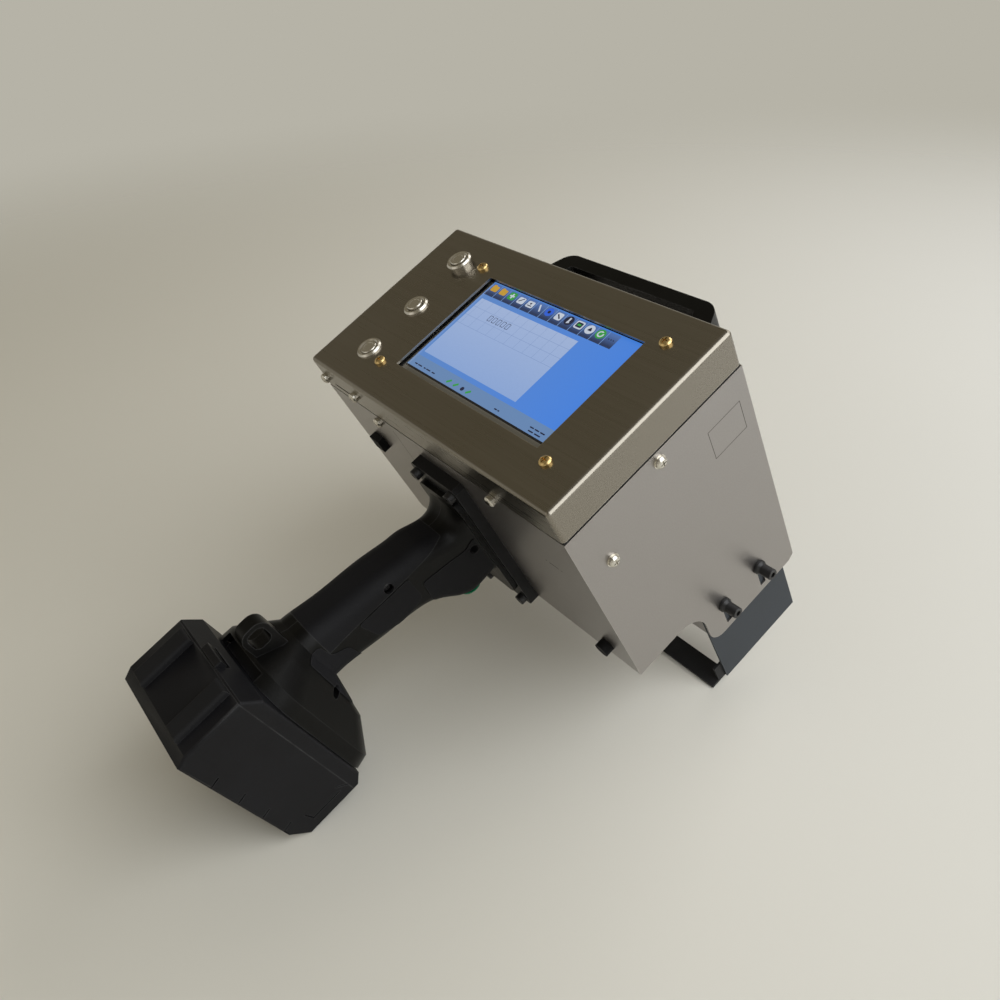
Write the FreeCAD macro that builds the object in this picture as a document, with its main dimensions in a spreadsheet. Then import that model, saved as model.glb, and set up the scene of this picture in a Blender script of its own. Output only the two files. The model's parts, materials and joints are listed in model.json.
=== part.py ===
"""Handheld large-character date code printer with touch screen, pistol grip and battery.

Everything is drawn in the case's own directions: X across the case, Y from the grip side to
the rear handle, Z up out of the lid, with zero at the middle of the lid's front edge.  Each
finished piece is then given the resting attitude, in which the printer lies on the lower front
edge of its battery and on its guide rail, with the origin under the middle of the whole.
"""
import FreeCAD, Part
import math
import os
import re
import Sketcher
from FreeCAD import Placement, Rotation, Vector

doc = FreeCAD.newDocument("HandheldPrinter")

# ---------------------------------------------------------------- driving sizes (mm)
SIZES = {
    # case
    "case_width": 270, "case_depth": 152, "skirt": 27, "sheet": 1.5, "bend": 3, "seam": 1.6,
    "rear_drop": 232, "step_height": 47, "step_start": 39, "step_wall": 61, "step_round": 12,
    "gasket_width": 6,
    "nozzle_pitch": 8, "nozzle_bore": 1.6, "head_height": 38, "tank_side": 62, "tank_up": 64,
    "tank_width": 92, "tank_depth": 84, "tank_top": 72,
    "nozzle_centre": 104, "nozzle_width": 150, "nozzle_depth": 34,
    # display
    "window_width": 151, "window_depth": 91.5, "window_side": 18.6, "window_centre": 76.5,
    "module_width": 158, "module_depth": 100, "module_height": 7, "module_side": 23,
    "module_centre": 79.5, "glass_width": 155, "glass_depth": 89, "glass_height": 1.1,
    "glass_recess": 3.4, "display_screw_margin": 10, "display_screw_row": 101,
    "display_screw_side": 17.5, "display_screw_centre": 76.5,
    # panel buttons
    "button_clear": 20.5, "button_centre": 76, "button_pitch": 46, "button_hole": 16,
    "button_bezel": 19, "button_cap": 12, "button_lift": 4, "button_depth": 26,
    # small screws
    "screw_hole": 4.2, "screw_head": 8, "screw_shank": 4,
    # guide frame
    "guide_drop": 55, "guide_tuck": 42, "guide_front": 61, "guide_rear": 141,
    "guide_sheet": 2, "guide_gap": 0.35,
    "guide_bolt_front": 80.5, "guide_bolt_pitch": 38, "guide_bolt_up": 28.5, "guide_bolt": 5,
    "guide_travel": 20, "guide_collar": 11, "guide_head": 8.5, "guide_standoff": 13,
    "rail_front": 46.5, "rail_depth": 17,
    # handle plate and grip
    "plate_width": 54, "plate_top": 45, "plate_length": 142, "plate_thick": 8.5,
    "plate_bolt_inset": 7, "plate_bolt": 5, "flange_thick": 3, "grip_half": 19.5, "grip_wall": 3,
    "grip_end": 143, "pad_thick": 1.4,
    "trigger_reach": 32, "trigger_ring": 16, "trigger_cap": 11.6, "trigger_face": 151,
    # battery and foot
    "foot_top": 146, "foot_base": 178, "foot_half": 44, "foot_rear": 42, "foot_front": 170,
    "pack_half": 47.7, "pack_top": 178.4, "pack_bottom": 237, "pack_rear": 26.4,
    "pack_front": 160, "pack_round": 2, "pack_lower_bevel": 9,
    "pack_toe": 15, "pack_chin": 4, "pack_chin_rise": 8, "pack_nose": 8, "pack_nose_drop": 6,
    "pack_brow": 12, "pack_brow_drop": 8.5,
    "bumper_side": 28.5, "bumper_width": 15, "bumper_reach": 4.6, "pack_lid": 10, "pack_wall": 4,
    "cell_round": 18, "cell_length": 65, "rail_half": 24, "rail_height": 7,
    "loop_left": 1, "loop_right": 12, "loop_band": 3.6,
    # rear handle
    "bow_half": 72, "bow_spread": 97, "bow_screw": 108, "bow_foot": 5, "bow_reach": 47,
    "bow_top": 45, "bow_height": 36, "bow_thick": 11, "bow_round": 14,
}
# these two follow the display, so that its screws and the buttons stay beside it
WORKED_OUT = {
    "display_screw_span": "=module_width + 2 * display_screw_margin",
    "button_side": "=display_screw_span / 2 - display_screw_side + button_clear",
}

sheet = doc.addObject("Spreadsheet::Sheet", "Sizes")
for row, (alias, value) in enumerate({**SIZES, **WORKED_OUT}.items(), 1):
    sheet.set(f"A{row}", alias)
    sheet.set(f"B{row}", str(value))
    sheet.setAlias(f"B{row}", alias)
doc.recompute()


def size(text):
    """Value in mm of a formula in the sheet's names, such as 'case_depth - 2 * sheet'."""
    return float(sheet.evalExpression(formula(text)))


def formula(text):
    """The same formula with every alias pointing at the sheet."""
    return re.sub(r"[a-z_]+", lambda word: "Sizes." + word.group(), str(text))


def bind(thing, target, text):
    thing.setExpression(target, formula(text))


NODES = []


def node(thing, label):
    """Name a finished piece; its label becomes its node."""
    thing.Label = label
    NODES.append(thing)
    return thing


# ---------------------------------------------------------------- ways of making a piece
def body(label):
    return node(doc.addObject("PartDesign::Body", label + "_body"), label)


def sketch_on(owner, plane, across, up, level):
    """An empty sketch on one of the body's origin planes, moved to its place by formulas."""
    drawing = owner.newObject("Sketcher::SketchObject", "Drawing")
    base = next(f for f in owner.Origin.OriginFeatures if f.Role == plane + "_Plane")
    drawing.AttachmentSupport = [(base, "")]
    drawing.MapMode = "FlatFace"
    bind(drawing, "AttachmentOffset.Base.x", across)
    bind(drawing, "AttachmentOffset.Base.y", up)
    bind(drawing, "AttachmentOffset.Base.z", level)
    return drawing


def draw_rectangle(drawing, width, height):
    """A rectangle about the sketch's centre, its two sizes bound to formulas."""
    half_w, half_h = size(width) / 2, size(height) / 2
    corners = [Vector(-half_w, -half_h), Vector(half_w, -half_h),
               Vector(half_w, half_h), Vector(-half_w, half_h)]
    for start, end in zip(corners, corners[1:] + corners[:1]):
        drawing.addGeometry(Part.LineSegment(start, end))
    for edge in range(4):
        drawing.addConstraint(Sketcher.Constraint("Coincident", edge, 2, (edge + 1) % 4, 1))
    for edge in (0, 2):
        drawing.addConstraint(Sketcher.Constraint("Horizontal", edge))
        drawing.addConstraint(Sketcher.Constraint("Vertical", edge + 1))
    drawing.addConstraint(Sketcher.Constraint("Symmetric", 0, 1, 2, 1, -1, 1))
    wide = drawing.addConstraint(Sketcher.Constraint("DistanceX", 0, 1, 0, 2, 2 * half_w))
    tall = drawing.addConstraint(Sketcher.Constraint("DistanceY", 1, 1, 1, 2, 2 * half_h))
    bind(drawing, f"Constraints[{wide}]", width)
    bind(drawing, f"Constraints[{tall}]", height)


def draw_circle(drawing, diameter):
    """A circle about the sketch's centre, its size bound to a formula."""
    drawing.addGeometry(Part.Circle(Vector(), Vector(0, 0, 1), size(diameter) / 2))
    drawing.addConstraint(Sketcher.Constraint("Coincident", 0, 3, -1, 1))
    ring = drawing.addConstraint(Sketcher.Constraint("Diameter", 0, size(diameter)))
    bind(drawing, f"Constraints[{ring}]", diameter)


def draw_outline(drawing, edges):
    """Lines and arcs already worked out from the sheet, held where they are."""
    for edge in edges:
        index = drawing.addGeometry(edge)
        drawing.addConstraint(Sketcher.Constraint("Block", index))


def raise_pad(owner, drawing, length, both_ways=False):
    pad = owner.newObject("PartDesign::Pad", "Pad")
    pad.Profile = drawing
    bind(pad, "Length", length)
    pad.Midplane = both_ways
    drawing.Visibility = False
    doc.recompute()
    return pad


def sink_pocket(owner, drawing, reach):
    """Cut half of `reach` to each side of the sketch, so that it cuts whichever way it faces."""
    pocket = owner.newObject("PartDesign::Pocket", "Pocket")
    pocket.Profile = drawing
    pocket.Midplane = True
    bind(pocket, "Length", reach)
    before = owner.Shape.Volume
    doc.recompute()
    assert owner.Shape.Volume < before - 1e-3, owner.Label
    return pocket


def slab(owner, plane, across, up, level, width, height, length):
    drawing = sketch_on(owner, plane, across, up, level)
    draw_rectangle(drawing, width, height)
    return raise_pad(owner, drawing, length)


def boss(owner, plane, across, up, level, diameter, length):
    drawing = sketch_on(owner, plane, across, up, level)
    draw_circle(drawing, diameter)
    return raise_pad(owner, drawing, length)


def window(owner, plane, across, up, level, width, height, reach):
    drawing = sketch_on(owner, plane, across, up, level)
    draw_rectangle(drawing, width, height)
    return sink_pocket(owner, drawing, reach)


def hole(owner, plane, across, up, level, diameter, reach):
    drawing = sketch_on(owner, plane, across, up, level)
    draw_circle(drawing, diameter)
    return sink_pocket(owner, drawing, reach)


def soften(owner, feature, radius, wanted, kind="Fillet"):
    """Round or bevel the edges of a body's last feature that `wanted` picks."""
    names = [f"Edge{i}" for i, edge in enumerate(feature.Shape.Edges, start=1) if wanted(edge)]
    edge_work = owner.newObject("PartDesign::" + kind, kind)
    edge_work.Base = (feature, names)
    bind(edge_work, "Radius" if kind == "Fillet" else "Size", radius)
    doc.recompute()
    return edge_work


def along(axis):
    """Picks the straight edges that run along X, Y or Z."""
    def picks(edge):
        if edge.Curve.TypeId != "Part::GeomLine":
            return False
        return abs(abs(edge.tangentAt(edge.FirstParameter)[axis]) - 1) < 1e-6
    return picks


TURNS = {"x": Rotation(Vector(0, 1, 0), 90), "y": Rotation(Vector(1, 0, 0), -90),
         "z": Rotation()}


def free_shape(label, shape):
    """A piece whose form is worked out with Part's own functions from sheet sizes."""
    piece = doc.addObject("Part::Feature", label + "_form")
    piece.Shape = shape
    return node(piece, label)


def cylinder_at(axis, x, y, z, radius, length):
    """A plain solid cylinder for shapes that are worked out directly."""
    return Part.makeCylinder(radius, length, Vector(x, y, z), TURNS[axis].multVec(Vector(0, 0, 1)))


def box_at(low, high):
    spans = [high[i] - low[i] for i in range(3)]
    return Part.makeBox(*spans, Vector(*low))


# ---------------------------------------------------------------- screws and other turned pieces
def pan_screw(radius, height, shank, length, slot=0.7):
    """A pan-head cross-recess screw, head up along +Z from the seat at zero."""
    crown = height * 0.45
    profile = Part.Wire([
        Part.LineSegment(Vector(0, 0, -length), Vector(shank, 0, -length)).toShape(),
        Part.LineSegment(Vector(shank, 0, -length), Vector(shank, 0, 0)).toShape(),
        Part.LineSegment(Vector(shank, 0, 0), Vector(radius, 0, 0)).toShape(),
        Part.LineSegment(Vector(radius, 0, 0), Vector(radius, 0, height - crown)).toShape(),
        Part.Arc(Vector(radius, 0, height - crown), Vector(radius * 0.8, 0, height - crown * 0.25),
                 Vector(0, 0, height)).toShape(),
        Part.LineSegment(Vector(0, 0, height), Vector(0, 0, -length)).toShape()])
    screw = Part.Face(profile).revolve(Vector(), Vector(0, 0, 1), 360)
    arm = radius * 0.55
    for low, high in (((-arm, -slot / 2, height * 0.4), (arm, slot / 2, height * 2)),
                      ((-slot / 2, -arm, height * 0.4), (slot / 2, arm, height * 2))):
        screw = screw.cut(box_at(low, high))
    return screw


def cap_screw(radius, height, shank, length, socket):
    """A socket cap screw, head up along +Z from the seat at zero."""
    head = Part.makeCylinder(radius, height)
    head = head.makeChamfer(radius * 0.1, [edge for edge in head.Edges
                                           if edge.BoundBox.ZMin > height - 1e-6])
    screw = head.fuse(Part.makeCylinder(shank, length, Vector(0, 0, -length)))
    hexagon = [Vector(socket * math.cos(turn), socket * math.sin(turn), height * 0.4)
               for turn in (math.radians(60 * corner) for corner in range(7))]
    recess = Part.Face(Part.makePolygon(hexagon)).extrude(Vector(0, 0, height))
    return screw.cut(recess).removeSplitter()


def washer(inner, outer, thick):
    return Part.makeCylinder(outer, thick).cut(Part.makeCylinder(inner, thick))


def placed(shape, place, direction):
    """A copy of a turned piece, its +Z laid along `direction` at `place`."""
    copy = shape.copy()
    copy.Placement = Placement(Vector(*place), Rotation(Vector(0, 0, 1), Vector(*direction)))
    return copy


def group(label, shapes):
    return free_shape(label, Part.makeCompound(shapes))


# ---------------------------------------------------------------- places shared by several pieces
HALF = size("case_width") / 2
DEPTH = size("case_depth")
SHEET = size("sheet")
SHELL_TOP = size("skirt + seam")
CLEAR = 0.05                       # radial clearance of a screw in its hole
MID = "case_depth / 2"


def display_screw_places():
    side = size("display_screw_side")
    centre = size("display_screw_centre")
    span, row_gap = size("display_screw_span") / 2, size("display_screw_row") / 2
    return [(side + i * span, centre + j * row_gap) for i in (-1, 1) for j in (-1, 1)]


def button_rows():
    """Along-case places of the three panel buttons, front to rear."""
    return [size("button_centre") + step * size("button_pitch") for step in (-1, 0, 1)]


SKIRT_SCREWS = [(-126, 16), (-84, 16)]          # x and drop, in the lid's front skirt
FRONT_SCREWS = [(-66, 33), (66, 33)]            # x and drop, in the shell's front wall
END_SCREWS = [(76, 36), (21.6, 69.5)]           # y and drop, in each end wall
BOW_SCREW_DROPS = (54, 72)                      # drops of the rear handle's screws


def guide_bolt_rows():
    first = size("guide_bolt_front")
    return [first, first + size("guide_bolt_pitch")]


def plate_bolt_places():
    inset = size("plate_bolt_inset")
    half = size("plate_width") / 2 - inset
    top = size("plate_top") + inset
    bottom = size("plate_top + plate_length") - inset
    return [(side * half, drop) for side in (-1, 1) for drop in (top, bottom)]


# ---------------------------------------------------------------- case
def make_top_cover():
    """Folded stainless lid: a tray turned over, with the display window and button holes."""
    lid = body("top_cover")
    pad = slab(lid, "XY", 0, MID, "-skirt", "case_width", "case_depth", "skirt")
    soften(lid, pad, "bend", lambda e: along(2)(e) or e.BoundBox.ZMin > -1e-6)
    window(lid, "XY", 0, MID, "-skirt", "case_width - 2 * sheet", "case_depth - 2 * sheet",
           "2 * skirt - 2 * sheet")
    window(lid, "XY", "window_side", "window_centre", 0, "window_width", "window_depth", "4 * sheet")
    for step in (-1, 0, 1):
        hole(lid, "XY", "-button_side", f"button_centre + {step} * button_pitch", 0,
             "button_hole", "4 * sheet")
    for i in (-1, 1):
        for j in (-1, 1):
            hole(lid, "XY", f"display_screw_side + {i / 2} * display_screw_span",
                 f"display_screw_centre + {j / 2} * display_screw_row", 0, "screw_hole", "4 * sheet")
    for across, drop in SKIRT_SCREWS:
        hole(lid, "XZ", across, -drop, 0, "screw_hole", "4 * sheet")
    window(lid, "XZ", -105, -20.5, 0, 26, 2.2, "4 * sheet")


def make_cover_gasket():
    """Black rubber seal in the seam between lid and case, set back a little."""
    seal = body("cover_gasket")
    slab(seal, "XY", 0, MID, "-skirt - seam", "case_width - 1.6", "case_depth - 1.6", "seam")
    window(seal, "XY", 0, MID, "-skirt", "case_width - 1.6 - 2 * gasket_width",
           "case_depth - 1.6 - 2 * gasket_width", "4 * seam")


def shell_outline(inset, top):
    """End view of the case in Y and Z, moved inwards by `inset`: the bottom steps down."""
    front, rear = inset, DEPTH - inset
    shallow = inset - size("rear_drop - step_height")
    deep = inset - size("rear_drop")
    start, wall = size("step_start"), size("step_wall") + inset
    hollow = size("step_wall") - start + inset
    turn = size("step_round") - inset
    heel = 5.5 - inset * math.tan(math.radians(15))
    half = math.sqrt(0.5)
    corner = [Vector(start, shallow), Vector(start + hollow * half, shallow - hollow * (1 - half)),
              Vector(wall, shallow - hollow)]
    foot = [Vector(wall, deep + turn), Vector(wall + turn * (1 - half), deep + turn * (1 - half)),
            Vector(wall + turn, deep)]
    path = [Vector(front, top), Vector(front, shallow), corner[0]]
    tail = [foot[2], Vector(rear - heel, deep), Vector(rear, deep + 3.5), Vector(rear, top)]
    edges = [Part.LineSegment(a, b) for a, b in zip(path, path[1:])]
    edges.append(Part.Arc(*corner))
    edges.append(Part.LineSegment(corner[2], foot[0]))
    edges.append(Part.Arc(*foot))
    edges += [Part.LineSegment(a, b) for a, b in zip(tail, tail[1:])]
    edges.append(Part.LineSegment(tail[-1], path[0]))
    return edges


def make_body_shell():
    """Welded stainless case with a stepped bottom, open at the top and over the nozzles."""
    shell = body("body_shell")
    outer = sketch_on(shell, "YZ", 0, 0, 0)
    draw_outline(outer, shell_outline(0, -SHELL_TOP))
    raise_pad(shell, outer, "case_width", both_ways=True)
    inner = sketch_on(shell, "YZ", 0, 0, 0)
    draw_outline(inner, shell_outline(SHEET, 5))
    sink_pocket(shell, inner, "case_width - 2 * sheet")
    window(shell, "XY", 0, "nozzle_centre", "-rear_drop", "nozzle_width", "nozzle_depth", "4 * sheet")
    for across, drop in FRONT_SCREWS:
        hole(shell, "XZ", across, -drop, 0, "screw_hole", "4 * sheet")
    for across, drop in END_SCREWS:
        hole(shell, "YZ", across, -drop, 0, "screw_hole", "case_width + 2 * sheet")
    for step in (0, 1):
        window(shell, "YZ", f"guide_bolt_front + {step} * guide_bolt_pitch",
               "guide_bolt_up - rear_drop - guide_travel / 2", 0, "guide_bolt + 0.4",
               "guide_travel + guide_bolt + 0.4", "case_width + 2 * sheet")
    slot_level = "case_width / 2 - sheet - guide_gap - guide_sheet / 2"
    for side in (-1, 1):
        window(shell, "YZ", "guide_front / 2 + guide_rear / 2", "guide_tuck / 2 - rear_drop",
               f"{side} * ({slot_level})", "guide_rear - guide_front + 2 * guide_gap",
               "guide_tuck + 4", "guide_sheet + 2 * guide_gap")
        for drop in BOW_SCREW_DROPS:
            hole(shell, "XZ", f"{side} * bow_screw", -drop, "-case_depth", "screw_hole", "4 * sheet")
    for across, drop in plate_bolt_places():
        hole(shell, "XZ", across, -drop, 0, "plate_bolt + 0.4", "4 * sheet")


def make_nozzle_plate():
    """Black face plate in the bottom window, with the single row of print nozzles."""
    face = body("nozzle_plate")
    slab(face, "XY", 0, "nozzle_centre", "-rear_drop", "nozzle_width - 0.6", "nozzle_depth - 0.6",
         "2 * sheet")
    slab(face, "XY", 0, "nozzle_centre", "sheet - rear_drop", "nozzle_width + 12",
         "nozzle_depth + 12", "2 * sheet")
    drawing = sketch_on(face, "XY", "-7.5 * nozzle_pitch", "nozzle_centre", "-rear_drop")
    draw_circle(drawing, "nozzle_bore")
    bores = sink_pocket(face, drawing, "8 * sheet")
    row = face.newObject("PartDesign::LinearPattern", "NozzleRow")
    row.Originals = [bores]
    row.Direction = (drawing, ["H_Axis"])
    bind(row, "Length", "15 * nozzle_pitch")
    row.Occurrences = 16
    face.Tip = row
    doc.recompute()


def make_internals():
    """Print head, ink tank, pump and boards, laid out inside the case clear of its walls."""
    head = body("print_head")
    slab(head, "XY", 0, "nozzle_centre", "3 * sheet - rear_drop", "nozzle_width - 8",
         "nozzle_depth - 2", "head_height")
    for side in (-1, 1):
        boss(head, "XY", f"{side} * nozzle_width / 4", "nozzle_centre",
             "3 * sheet + head_height - rear_drop - 1", 12, 13)
    tank = body("ink_tank")
    pad = slab(tank, "XY", "-tank_side", MID, "tank_up - rear_drop", "tank_width", "tank_depth",
               "rear_drop - tank_up - tank_top")
    soften(tank, pad, 5, along(2))
    boss(tank, "XY", "-tank_side", MID, "-tank_top - 1", 22, 9)
    pump = body("ink_pump")
    slab(pump, "XY", "tank_side - 4", "case_depth / 2 + 20", "tank_up - rear_drop", 62, 44, 42)
    boss(pump, "XY", "tank_side - 4", "case_depth / 2 + 20", "tank_up - rear_drop + 41", 36, 36)
    board = body("control_board")
    slab(board, "XZ", 0, -118, -6, 190, 84, 1.6)
    for across in (-70, -20, 34, 74):
        slab(board, "XZ", across, -118, -12, 24, 30, 6.5)
    for across in (-88, 88):
        for drop in (84, 152):
            boss(board, "XZ", across, -drop, -6, 6, "6 - sheet")
    tray = body("chassis_tray")
    slab(tray, "XY", 0, MID, "tank_up - rear_drop - sheet", "case_width - 2 * sheet",
         "case_depth - 2 * sheet", "sheet")
    for side in (-1, 1):
        slab(tray, "XY", f"{side} * case_width / 2 - {side} * 1.5 * sheet", MID, "tank_up - rear_drop",
             "sheet", "case_depth - 2 * sheet", 12)


def make_display():
    """Seven inch touch display: metal-framed module, cover glass and the posts that hold it."""
    module = body("display_module")
    slab(module, "XY", "module_side", "module_centre", "-glass_recess - glass_height - module_height",
         "module_width", "module_depth", "module_height + glass_height")
    window(module, "XY", "module_side", "module_centre", "-glass_recess", "glass_width",
           "glass_depth", "2 * glass_height")
    glass = body("touch_glass")
    slab(glass, "XY", "module_side", "module_centre", "-glass_recess - glass_height",
         "glass_width - 0.3", "glass_depth - 0.3", "glass_height")
    back = "-glass_recess - glass_height - module_height"
    bracket = body("display_bracket")
    slab(bracket, "XY", "display_screw_side", "display_screw_centre", back + " - sheet",
         "display_screw_span + 12", "display_screw_row + 12", "sheet")
    for i in (-1, 1):
        for j in (-1, 1):
            across = f"display_screw_side + {i / 2} * display_screw_span"
            up = f"display_screw_centre + {j / 2} * display_screw_row"
            boss(bracket, "XY", across, up, back, 7, "glass_recess + glass_height + module_height - sheet")
    for i in (-1, 1):
        for j in (-1, 1):
            hole(bracket, "XY", f"display_screw_side + {i / 2} * display_screw_span",
                 f"display_screw_centre + {j / 2} * display_screw_row", back,
                 "screw_hole", "4 * module_height")
    screw = pan_screw(size("screw_head") / 2, 2.6, size("screw_shank") / 2, 10)
    group("display_screws", [placed(screw, (x, y, 0), (0, 0, 1)) for x, y in display_screw_places()])


def turned(points):
    """A solid turned about Z from half-section corners (radius, height)."""
    corners = [Vector(r, 0, z) for r, z in points]
    profile = Part.Face(Part.makePolygon(corners + corners[:1]))
    return profile.revolve(Vector(), Vector(0, 0, 1), 360)


def make_panel_buttons():
    """Three metal push buttons: threaded housings, nuts under the lid and separate caps."""
    barrel = size("button_hole") / 2 - 0.1
    bezel = size("button_bezel") / 2
    bore = size("button_cap") / 2 + 0.3
    cap = size("button_cap") / 2
    depth = size("button_depth")
    side = -size("button_side")
    housing = turned([(0, -depth), (barrel - 2, -depth), (barrel, -depth + 2), (barrel, 0),
                      (bezel, 0), (bezel, 0.9), (bezel - 1.1, 2.1), (bore + 1, 2.1), (bore, 1.5),
                      (bore, -7), (0, -7)])
    nut_face = Part.Face(Part.makePolygon([Vector(11 * math.cos(math.radians(60 * k)),
                                                  11 * math.sin(math.radians(60 * k)), 0)
                                           for k in range(7)]))
    nut = nut_face.extrude(Vector(0, 0, 3)).cut(Part.makeCylinder(barrel + CLEAR, 3))
    rows = button_rows()
    lifts = [0, 0, size("button_lift")]
    # the rear housing is not screwed down: its thread shows under the bezel
    group("button_housings", [placed(housing, (side, y, lift), (0, 0, 1))
                              for y, lift in zip(rows, lifts)])
    group("button_nuts", [placed(nut, (side, y, -SHEET - 3), (0, 0, 1)) for y in rows])
    crowns = {"front": 0.2, "middle": 1.5, "rear": 0.8}
    for (name, crown), y, lift in zip(crowns.items(), rows, lifts):
        key = turned([(0, -4.5), (cap, -4.5), (cap, 2.0 + crown - 0.5), (cap - 0.5, 2.0 + crown),
                      (cap - 2, 2.0 + crown), (cap - 2.3, 1.8 + crown), (0, 1.8 + crown)])
        free_shape(f"{name}_button_cap", placed(key, (side, y, lift), (0, 0, 1)))


def make_case_screws():
    """Nickel pan-head screws with spring washers on the front and washers on the ends."""
    shank = size("screw_shank") / 2
    head = size("screw_head") / 2
    thin = 1.2
    screw = pan_screw(head, 2.8, shank, 9)
    ring = washer(shank + CLEAR, head - 0.3, thin)
    split = ring.cut(box_at((0, -0.35, -1), (head + 1, 0.35, 2)))
    front = [(x, -drop) for x, drop in SKIRT_SCREWS + FRONT_SCREWS]
    group("front_screws", [placed(screw, (x, -thin, z), (0, -1, 0)) for x, z in front])
    group("spring_washers", [placed(split, (x, 0, z), (0, -1, 0)) for x, z in front])
    ends = [(side, y, -drop) for side in (-1, 1) for y, drop in END_SCREWS]
    plain = washer(shank + CLEAR, head + 0.6, 0.8)
    group("end_screws", [placed(screw, (side * (HALF + 0.8), y, z), (side, 0, 0))
                         for side, y, z in ends])
    group("end_washers", [placed(plain, (side * HALF, y, z), (side, 0, 0)) for side, y, z in ends])


def make_guide():
    """Sheet guide that sets the print distance: two end plates joined by a front rail,
    sliding on four bolts in the slots of the case ends."""
    inner = "case_width / 2 - sheet - guide_gap - guide_sheet"
    for side, name in ((-1, "left"), (1, "right")):
        level = inner if side > 0 else "-case_width / 2 + sheet + guide_gap"
        plate = body(f"guide_plate_{name}")
        slab(plate, "YZ", "guide_front / 2 + guide_rear / 2", "guide_tuck / 2 - guide_drop / 2 - rear_drop",
             level, "guide_rear - guide_front", "guide_drop + guide_tuck", "guide_sheet")
        for step in (0, 1):
            hole(plate, "YZ", f"guide_bolt_front + {step} * guide_bolt_pitch", "guide_bolt_up - rear_drop",
                 level, "guide_bolt + 0.1", "4 * guide_sheet")
    rail = body("guide_rail")
    slab(rail, "XY", 0, "rail_front + rail_depth / 2", "-rear_drop - guide_drop", f"2 * ({inner})",
         "rail_depth", "guide_sheet")
    for level in (inner + " - guide_sheet", f"-({inner})"):
        slab(rail, "YZ", "rail_front + rail_depth / 2 + 7", "9 - rear_drop - guide_drop", level,
             "rail_depth - 1", 18, "guide_sheet")
    wall = HALF - SHEET
    plate_inner = wall - size("guide_gap + guide_sheet")
    outside = HALF + 0.3
    radius = size("guide_bolt") / 2
    collar = size("guide_collar") / 2
    thick = 4.2
    head = size("guide_standoff") - thick
    bolt = cap_screw(size("guide_head") / 2, head, radius, outside + thick - plate_inner + 5, 2.3)
    ring = turned([(radius + CLEAR, 0), (collar, 0), (collar, thick - 2.2), (collar - 1.6, thick),
                   (radius + CLEAR, thick)])
    nut = washer(radius + CLEAR, 4.4, 4)
    seats = [(side, y) for side in (-1, 1) for y in guide_bolt_rows()]
    drop = size("guide_bolt_up - rear_drop")
    group("guide_bolts", [placed(bolt, (side * (outside + thick), y, drop), (side, 0, 0))
                          for side, y in seats])
    group("guide_collars", [placed(ring, (side * outside, y, drop), (side, 0, 0))
                            for side, y in seats])
    group("guide_nuts", [placed(nut, (side * (plate_inner - 4), y, drop), (side, 0, 0))
                         for side, y in seats])


# ---------------------------------------------------------------- front grip
def make_handle_plate():
    """Thick black plate on the front wall that carries the pistol grip."""
    plate = body("handle_plate")
    pad = slab(plate, "XZ", 0, "-plate_top - plate_length / 2", 0, "plate_width", "plate_length",
               "plate_thick")
    soften(plate, pad, 3, along(1), kind="Chamfer")
    for across, drop in plate_bolt_places():
        hole(plate, "XZ", across, -drop, "plate_thick / 2", "plate_bolt + 0.1", "2 * plate_thick")
    bolt = cap_screw(4.2, 5, size("plate_bolt") / 2, size("plate_thick") + 9, 2)
    group("plate_bolts", [placed(bolt, (x, -size("plate_thick"), -drop), (0, -1, 0))
                          for x, drop in plate_bolt_places()])


# distance out from the case, palm-side height, trigger-side height, half width
GRIP_SCREWS = [(-18, -102.4), (-79.5, -74), (-150, -100)]  # y and z of their centres
GRIP_SECTIONS = [(12, -65, -143, 22), (18, -74.5, -140, 21), (28, -76.5, -141.5, 20),
                 (42, -71.5, -137.5, 19.5), (56, -68.5, -123.5, 19.5), (73, -65, -115, 19.5),
                 (100, -61, -110.5, 19), (124, -57.5, -105.5, 19), (143, -54.5, -103, 20)]


def rounded_section(y, top, bottom, half, inset=0.0):
    """A rounded rectangle in the plane at `y`, shrunk by `inset` all round."""
    top, bottom, half = top - inset, bottom + inset, half - inset
    radius = min(half, (top - bottom) / 2) * 0.66
    k = radius * (1 - math.sqrt(0.5))
    west, east = -half, half
    r = radius

    def line(*ends):
        return Part.LineSegment(*[Vector(x, y, z) for x, z in ends]).toShape()

    def bow(*points):
        return Part.Arc(*[Vector(x, y, z) for x, z in points]).toShape()

    return Part.Wire([
        line((west + r, bottom), (east - r, bottom)),
        bow((east - r, bottom), (east - k, bottom + k), (east, bottom + r)),
        line((east, bottom + r), (east, top - r)),
        bow((east, top - r), (east - k, top - k), (east - r, top)),
        line((east - r, top), (west + r, top)),
        bow((west + r, top), (west + k, top - k), (west, top - r)),
        line((west, top - r), (west, bottom + r)),
        bow((west, bottom + r), (west + k, bottom + k), (west + r, bottom))])


def grip_loft(inset=0.0):
    scale = size("grip_half") / 19.5
    wires = [rounded_section(-y, top, bottom, half * scale, inset)
             for y, top, bottom, half in GRIP_SECTIONS]
    return Part.makeLoft(wires, True, False)


def foot_loft(inset=0.0):
    """The foot that widens from the end of the grip to the battery."""
    half = size("foot_half")
    rear, front = -size("foot_rear"), -size("foot_front")
    steps = [(size("grip_end"), -54.5, -103, 20), (size("foot_top") + 6, -50, -144, 29),
             (size("foot_top") + 22, rear, front + 3, half - 1),
             (size("foot_base"), rear, front, half)]
    wires = [rounded_section(-y, top, bottom, w, inset) for y, top, bottom, w in steps]
    return Part.makeLoft(wires, True, True)


def half_space(side):
    return box_at((0 if side > 0 else -200, -400, -400), (200 if side > 0 else 0, 100, 100))


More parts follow.
